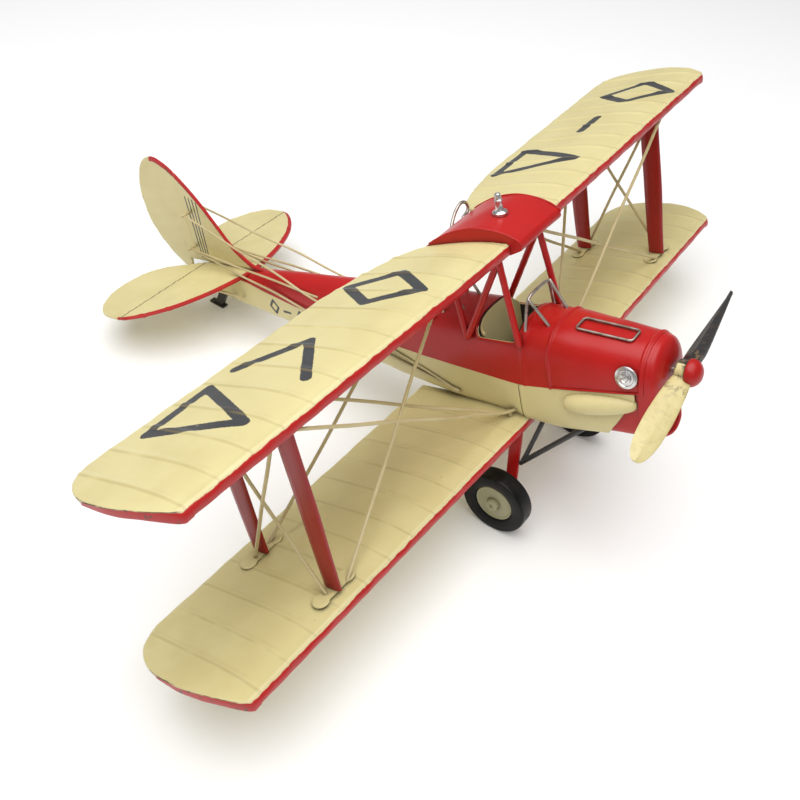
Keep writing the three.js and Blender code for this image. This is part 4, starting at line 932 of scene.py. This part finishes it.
for label, side in SIDES:
    for which, x, y in (("front", FRONT_X, FRONT_Y), ("rear", REAR_X, REAR_Y)):
        add(f"interplane_strut_{which}_{label}", [strut(side, x, y)], M_SHADED_STRUT)
        add(f"strut_foot_{which}_{label}", [plate(side, x, y)], M_CREAM, sharp=60)
    mirror = np.array([side, 1, 1])
    front_top, rear_top = under_upper(FRONT_X, FRONT_Y), under_upper(REAR_X, REAR_Y)
    front_foot, rear_foot = foot_top(FRONT_X, FRONT_Y), foot_top(REAR_X, REAR_Y)
    add(f"incidence_wires_{label}", [
        tube(mirror * wire, BRACE_RADIUS, uneven=0.15) for wire in (
            [(FRONT_X + 4.2, FRONT_Y - 1, front_top + 0.8), (REAR_X + 4.2, REAR_Y, rear_foot - 0.6)],
            [(REAR_X + 4.2, REAR_Y + 1, rear_top + 0.6), (FRONT_X + 4.2, FRONT_Y, front_foot - 0.6)])],
        M_SHADED_WIRE)
    lug = on_lower(20.8, 11.6) + 1.6
    flying = ([(148.6, 9.6, under_upper(148.6, 9.6) + 0.7), (24, 11.8, lug + 2.0), (19.4, 9.9, lug + 1.2)],
              [(139, 58.4, under_upper(139, 58.4) + 0.6), (26, 13.8, lug + 3.0), (20.0, 13.6, lug + 0.2)])
    add(f"flying_wires_{label}", [
        *[tube(mirror * wire, BRACE_RADIUS, uneven=0.2) for wire in flying],
        tube(mirror * [(21.4, 11.6, lug + 1.4), (20.8, 11.6, lug - 2.2)], 1.0)], M_SHADED_WIRE)
    landing = ([(20.6, 31, 117.2), (141.4, 14.2, front_foot - 0.6)],
               [(22, 44, 117), (139, 61.6, rear_foot - 0.6)])
    add(f"landing_wires_{label}", [
        *[tube(mirror * wire, BRACE_RADIUS, uneven=0.2) for wire in landing],
        tube(mirror * [(20.8, 30.5, 117), (22, 44.5, 116.8)], BRACE_RADIUS)], M_SHADED_WIRE)
    high, back, foot, rear = (16.6, 8, 118.2), (16.6, 36.5, 119), (18.2, 2.6, 77), (18.0, 31, 75.6)
    add(f"cabane_frame_{label}",
        [tube(mirror * [a, b], CABANE_RADIUS, 16) for a, b in ((high, foot), (high, rear), (back, rear))],
        M_RED)


# ---- windscreens and small fittings ----------------------------------------------------
WIRE_RADIUS = 0.75


def windscreen(name, y, front_half, rear_half, top_half):
    """A hoop of bent wire with two raked legs in front."""
    top_z_mm = 97
    corners = [(sd * top_half, y + 1.4, top_z_mm) for sd in (-1, 1)]
    feet = [(sd * rear_half, y + 2.6, deck_height(rear_half, y + 2.6) - 1.4) for sd in (-1, 1)]
    parts = [tube([feet[0], corners[0], corners[1], feet[1]], WIRE_RADIUS)]
    for i, sd in enumerate((-1, 1)):
        foot = (sd * front_half, y - 7.8, deck_height(front_half, y - 7.8) - 1.2)
        parts.append(tube([np.array(corners[i]) - (0, 0.4, 0.7), foot], WIRE_RADIUS))
    add(name, parts, M_METAL)


windscreen("front_windscreen_frame", -0.4, 8, 13, 9.4)
windscreen("rear_windscreen_frame", 46.4, 7, 10.6, 8)

HATCH = [(1.4, -20.6), (0.9, -47.2), (-6.8, -46.8), (-7.2, -20.4)]
hatch = [(x, y, deck_height(x, y) + 0.95) for x, y in HATCH]
add("hatch_wire_frame", [tube(hatch, 0.54, 12, loop=True, step=1.2)], M_METAL)
cap_x = -half_at(-47.0) * 0.985
SIDE_CAP = [(0.001, 0.1), (5.0, 0.2), (5.05, 0.7), (4.4, 1.2), (3.8, 1.3), (3.4, 0.95), (2.7, 1.0),
            (2.4, 1.9), (1.6, 2.25), (1.2, 1.9), (0.5, 2.0), (0.001, 2.1)]
add("cowl_side_cap", [lathe(SIDE_CAP, (cap_x, -48.4, 71.5), (-1, -0.05, 0.22), 48)], M_SILVER)
CHIN_DISC = [(0.001, 0), (2.2, 0.02), (2.2, 0.3), (1.8, 0.5), (0.001, 0.6)]
add("chin_disc", [lathe(CHIN_DISC, (-6.6, -60.7, 44.6), (0.05, -1, 0), 28)], M_SILVER, slot="wheel_paint")


# ---- tail -----------------------------------------------------------------
def flat_surface(coords, near, far, place, hinge, relief):
    """A thin folded sheet between two edge curves, near and far, at the stations coords.

    place puts (u, v, w) into the aircraft frame; hinge and relief are functions of (u, v).
    The sheet comes back with the u and v of each of its points.
    """
    n = 44
    t = np.linspace(0, 1, n)
    U = coords[:, None] * np.ones(n)
    a, b = near(coords), far(coords)
    V = a[:, None] + t * (b - a)[:, None]
    edge = np.minimum(V - a[:, None], b[:, None] - V)
    side_edge = np.minimum(U - coords[0], coords[-1] - U)
    inward = np.minimum(edge, side_edge * 1.4)
    w = 0.80 - 0.28 * np.exp(-inward / 0.5) + 0.22 * bell(inward - 1.6, 0.9)
    w = w - 0.30 * bell(hinge(U, V), 0.55) + relief(U, V)
    grid = np.concatenate([place(U, V, w), place(U, V, -w)[:, ::-1]], 1)
    return capped(grid), *[np.concatenate([values, values[:, ::-1]], 1) for values in (U, V)]


TP_FRONT = [(0, 190.4), (3.4, 190.6), (12, 192), (28, 196.4), (46, 205), (59, 215.5), (66.8, 225.5),
            (69, 233)]
TP_REAR = [(0, 228), (2.6, 232), (7.5, 240.5), (12.5, 249.5), (20, 258), (30, 261.8), (42, 262.6),
           (52, 260), (61.5, 254), (68, 245), (69, 233)]
half_x = 69 * np.sin(np.linspace(0, math.pi / 2, 90))
xs = np.concatenate([-half_x[::-1], half_x[1:]])
TAIL_Z = 76.5
HINGE_Y = 230.0


def ribs_at(values, at, width=0.9, height=0.28):
    return height * np.sum([bell(values - c, width) for c in at], 0)


def tailplane_front(x):
    return along(TP_FRONT, np.abs(x))


def tailplane_rear(x):
    return np.maximum(along(TP_REAR, np.abs(x)), tailplane_front(x) + 0.4)


def tailplane_ribs(x, y):
    return ribs_at(np.abs(x), (14, 26, 38, 50, 61)) * ramp(y, 200, 10)


sheet, U, V = flat_surface(
    xs, tailplane_front, tailplane_rear,
    place=lambda x, y, w: np.stack([x, y, TAIL_Z + w], -1),
    hinge=lambda x, y: y - HINGE_Y,
    relief=tailplane_ribs)
front_gap = V - tailplane_front(U) - 2.7
add("tailplane", [sheet], M_WING, sharp=50, clean=False,
    attrs=paint_layout(U, edge_mm=np.where(V < HINGE_Y + 2, front_gap, 6), wear=0.6, line_mm=V - HINGE_Y))

FIN_TOP = [(182.5, 78.2), (191, 81.2), (203, 91), (211, 102.6), (222, 118.6), (235, 132.8), (244, 139),
           (251, 141), (258.5, 138.6), (264.7, 132), (269.4, 121), (271, 109)]
FIN_LOW = [(182.5, 77.6), (200, 77.6), (244, 77.6), (244.6, 72.2), (251, 72.4), (259.4, 79.8), (266, 89.4),
           (269.6, 98), (271, 108.4)]
ys = np.concatenate([np.linspace(182.5, 217.5, 50), np.linspace(218, 240, 70), np.linspace(240.5, 262, 40),
                     271 - 9 * (1 - np.sin(np.linspace(0.05, math.pi / 2, 24)))])
low_curve = np.array(FIN_LOW)


def fin_signs(u, v):
    lines = [segment(u, v, (222.5 + 2.6 * k, 116 + 1.0 * k), (226.6 + 1.9 * k, 80), 0.42) for k in range(4)]
    return np.minimum.reduce(lines)


def fin_low(y):
    return np.interp(y, low_curve[:, 0], low_curve[:, 1])


def fin_top(y):
    return np.maximum(along(FIN_TOP, y), fin_low(y) + 0.3)


def rudder_ribs(y, z):
    return ribs_at(z, (88, 97, 106, 115, 124), 0.8, 0.24) * ramp(y, 238, 4)


sheet, U, V = flat_surface(
    ys, fin_low, fin_top,
    place=lambda y, z, w: np.stack([w, y, z], -1),
    hinge=lambda y, z: y - (236.5 - 0.03 * (z - 80)),
    relief=rudder_ribs)
top_gap = along(FIN_TOP, U) - V - 2.4
add("fin_and_rudder", [sheet], M_WING, sharp=50, clean=False,
    attrs=paint_layout(U, edge_mm=np.where(U < 252, top_gap, 6), wear=0.6, mark_mm=fin_signs(U, V)))

for which, y, z in (("upper", 227, 111), ("lower", 231, 89.5)):
    add(f"rudder_horn_{which}", [tube([(-7.4, y + 3, z - 1.5), (7.4, y + 3, z - 1.5)], 0.9)], M_SHADED_WIRE)
for label, side in SIDES:
    mirror = np.array([side, 1, 1])
    anchor = (half_at(43.0) + 0.9, 43, 43.4)
    top_arm, low_arm, deck_end = (6.6, 227.9, 109.5), (6.6, 231.9, 88), (9.4, 134, 74.4)
    add(f"tail_wires_{label}", [
        *[tube(mirror * [arm, end], TAIL_WIRE_RADIUS, uneven=sag)
          for arm, end, sag in ((top_arm, anchor, 0.5), (low_arm, anchor, 0.4), (low_arm, deck_end, 0.2))],
        tube(mirror * [np.array(anchor) + (0.5, -1.4, 0), np.array(anchor) + (-0.4, 1.6, 0)], 1.1)],
        M_SHADED_WIRE)
    bracket = [(half_at(196.0) + 1.1, 196.4, 63), (22, 205, TAIL_Z - 1.75), (half_at(206.0) + 1.1, 206, 62)]
    add(f"tailplane_bracket_{label}", [tube(mirror * bracket, 0.75)], M_SHADED_WIRE)

# ---- landing gear -------------------------------------------------------------
WHEEL_X, WHEEL_W = 40.6, 9.0
LEG_TOP, LEG_FOOT = np.array((17.2, 10, 34.3)), np.array((29.8, AXLE_Y, AXLE_Z - 3.5))


def gear_leg_rows(side):
    """A flat strip with rounded edges that widens a little towards the fuselage."""
    rows = []
    for t in np.linspace(0, 1, 14):
        x, y, z = LEG_TOP + (LEG_FOOT - LEG_TOP) * t
        wide = 3.4 - 0.4 * t
        rows.append([(side * (x + 1.05 * signed_power(math.cos(a), 0.5)),
                      y + wide * signed_power(math.sin(a), 0.6), z)
                     for a in turn(24)])
    return np.array(rows)


for label, side in SIDES:
    mirror = np.array([side, 1, 1])
    centre = (side * WHEEL_X, AXLE_Y, AXLE_Z)
    h = WHEEL_W / 2
    outer_half = [(16.9, h - 1.8), (16.75, h - 0.8), (16.2, h - 0.15), (15, h - 0.05), (13, h - 0.1),
                  (11, h - 0.45), (10.2, h - 0.9)]
    tyre = [(r, -across) for r, across in reversed(outer_half)] + [(16.93, 0)] + outer_half
    ring = spline(tyre, 60)
    closed_ring = np.vstack([ring, [(10.18, h - 1.0), (10.18, -h + 1.0), ring[0]]])
    add(f"tyre_{label}", [lathe(closed_ring, centre, (side, 0, 0), 120)], M_TYRE, body=f"wheel_{label}")
    disc = [(1.9, -h + 0.8), (4, -h + 0.8), (4.5, -h + 2.4), (9.1, -h + 2.4), (9.8, -h + 1.1),
            (9.88, h - 1.4), (9.6, h - 1.05),
            (9.2, h - 1.0), (8.8, h - 1.2), (8.4, h - 1.5), (6.5, h - 1.4), (4.6, h - 1.25), (3.7, h - 1.3),
            (3.4, h - 1.6), (3.1, h - 1.5), (3.05, h + 0.5), (2.9, h + 0.95), (2.5, h + 1.2), (1.4, h + 1.3),
            (0.001, h + 1.35), (0.001, h + 0.3), (1.9, h + 0.2), (1.9, -h + 0.8)]
    add(f"wheel_disc_{label}", [lathe(disc, centre, (side, 0, 0), 72)], M_DISC,
        body=f"wheel_{label}")
    low = (24.6, 6, 14.5)
    add(f"gear_radius_rods_{label}", [
        tube(mirror * [(15.6, -2.6, 34.8), low, (24.5, 7.4, 13.0)], 1.2),
        tube(mirror * [(15, -24, 36.6), low], 1.3)], M_BLACK)
    axle = [(28, AXLE_Y, AXLE_Z), (WHEEL_X + 2.5, AXLE_Y, AXLE_Z)]
    add(f"axle_stub_{label}", [tube(mirror * axle, 1.5, 20)], M_BLACK)
    add(f"gear_leg_{label}", [capped(gear_leg_rows(side))], M_RED)

# ---- propeller -------------------------------------------------------------
HUB = np.array(JOINTS["propeller_spin"]["pos_m"]) * 1000 - ORIGIN
PROP_Y, THRUST_Z = HUB[1] * COS - HUB[2] * SIN, HUB[1] * SIN + HUB[2] * COS
REST = math.radians(-13)
FULL_BLADE = [(2.5, 7.2, 2.6, 70), (4, 8.0, 2.8, 70), (6, 8.9, 2.9, 70), (10, 9.9, 2.5, 69),
              (17, 11.0, 1.9, 67), (27, 11.8, 1.6, 64),
              (38, 11.2, 1.3, 60), (45, 9.0, 1.1, 57), (49, 6.0, 0.9, 55), (50.6, 3.2, 0.7, 54.5),
              (50.95, 1.2, 0.5, 54)]
NARROW_BLADE = [(2.5, 8.2, 2.6, 70), (4, 9.4, 2.8, 70), (6, 10.4, 2.7, 70), (10, 11, 2.4, 70),
                (17, 10.2, 2, 68), (27, 8.2, 1.6, 65),
                (38, 5.6, 1.3, 62), (46, 3.2, 1.1, 60), (50, 1.4, 0.9, 58), (50.95, 0.6, 0.5, 57)]
BLADE_OFFSET = -1.0


def turned_about_hub(points):
    p = np.asarray(points, float)
    x, z = p[..., 0], p[..., 2]
    return np.stack([x * math.cos(REST) + z * math.sin(REST), p[..., 1] + PROP_Y,
                     -x * math.sin(REST) + z * math.cos(REST) + THRUST_Z], -1)


def blade(side, stations):
    rows = []
    dense = spline(stations, 80)
    for r, chord, thick, pitch in dense:
        b = math.radians(pitch)
        loop = []
        for a in turn(28):
            u = 0.5 * chord * math.cos(a)
            ridge = 0.35 * math.exp(-(math.cos(a) / 0.22) ** 2) * min(1, r / 12) * (1 if side > 0 else 1.6)
            v = signed_power(math.sin(a), 1.2) * (0.5 * thick + ridge)
            loop.append((-side * r, BLADE_OFFSET + u * math.sin(b) - v * math.cos(b),
                         side * (u * math.cos(b) + v * math.sin(b))))
        rows.append(loop)
    return np.array(rows)


grids = [blade(1, FULL_BLADE), blade(-1, NARROW_BLADE)]
hub = lathe([(1.9, -1.9), (4.7, -1.85), (5.0, -1.5), (5.2, 1.8), (4.9, 2.2), (1.9, 2.2), (1.9, -1.9)],
            (0, 0, 0), (0, 1, 0), 40)
parts = [(turned_about_hub(g).reshape(-1, 3), capped(g)[1]) for g in grids]
parts.append((turned_about_hub(hub[0]), hub[1]))
# on the real model the blade to starboard is cream and the one to port is black
xs_of = np.concatenate([g.reshape(-1, 3)[:, 0] for g in grids] + [hub[0][:, 0] + 0.4])
add("propeller", parts, M_BLADE, body="propeller_group",
    attrs={"second": np.clip(xs_of * 0.6, -1, 1), "scuff": np.clip(1.45 - np.abs(xs_of) / 13, 0.12, 1)},
    clean=False)
SPINNER = [(0.001, 2.3), (5.6, 2.3), (6.05, 2.6), (6.2, 3.3), (6.05, 4.4), (5.6, 5.5), (4.6, 6.7),
           (3.3, 7.6), (1.7, 8.15), (0.001, 8.3)]
add("spinner", [lathe(SPINNER, (0, PROP_Y, THRUST_Z), (0, -1, 0), 56)], M_RED, body="propeller_group")

# ---- CAD pieces that are shown as they are, with their own paint ------------------------------
for node, material, bevel in (
        ("front_cockpit_liner", M_BLACK, 0.12), ("rear_cockpit_liner", M_BLACK, 0.12),
        ("front_seat_back", M_CREAM, 0.15), ("tail_skid", M_BLACK, 0.3), ("propeller_shaft", M_METAL, 0.15)):
    ob = frame["nodes"][node]
    ob.data.materials.clear()
    ob.data.materials.append(material)
    m = ob.modifiers.new("worn_edges", "BEVEL")
    m.width, m.segments, m.limit_method = bevel / 1000, 2, "ANGLE"

# ---- floor, light and camera ---------------------------------------------------------
bpy.ops.mesh.primitive_plane_add(size=6, location=(0, 0, 0))
floor = bpy.context.object
s = Shade("studio_floor")
floor.data.materials.append(s.finish(s.mix(s.noise(3, 2), (0.90, 0.90, 0.902), (0.92, 0.92, 0.92)), 0.7, [],
                                     specular=0.2))
glow = next(n for n in s.tree.nodes if n.bl_idname == "ShaderNodeBsdfPrincipled")
glow.inputs["Emission Color"].default_value = (1, 1, 1, 1)
glow.inputs["Emission Strength"].default_value = 0.07


def lamp(name, place, aim, size, power, colour=(1, 1, 1)):
    data = bpy.data.lights.new(name, "AREA")
    data.shape, data.size, data.energy, data.color = "DISK", size, power, colour
    ob = bpy.data.objects.new(name, data)
    ob.location = place
    ob.rotation_euler = (Vector(aim) - Vector(place)).to_track_quat("-Z", "Y").to_euler()
    bpy.context.scene.collection.objects.link(ob)


lamp("key", (-0.14, -0.04, 1.12), (0, 0, 0.05), 1.6, 18.5)
lamp("front", (-0.7, -1.1, 0.9), (0, 0, 0.08), 0.7, 1.0)
background = bpy.data.worlds.new("studio")
bpy.context.scene.world = background
background.use_nodes = True
background.node_tree.nodes["Background"].inputs[0].default_value = (1, 1, 1, 1)
background.node_tree.nodes["Background"].inputs[1].default_value = 0.27

cam_data = bpy.data.cameras.new("camera")
cam_data.sensor_width, cam_data.lens = 36, 44.18
cam_data.clip_start, cam_data.clip_end = 0.01, 20
cam = bpy.data.objects.new("camera", cam_data)
forward = Vector((0.5942, 0.4096, -0.6922)).normalized()
up = Vector((0.5433, 0.4302, 0.7210))
right = forward.cross(up).normalized()
up = right.cross(forward)
turned = Matrix((right, up, -forward)).transposed().to_4x4()
cam.matrix_world = Matrix.Translation((-0.32277, -0.24239, 0.37629)) @ turned
bpy.context.scene.collection.objects.link(cam)
bpy.context.scene.camera = cam
bpy.context.scene.view_settings.view_transform = "Standard"
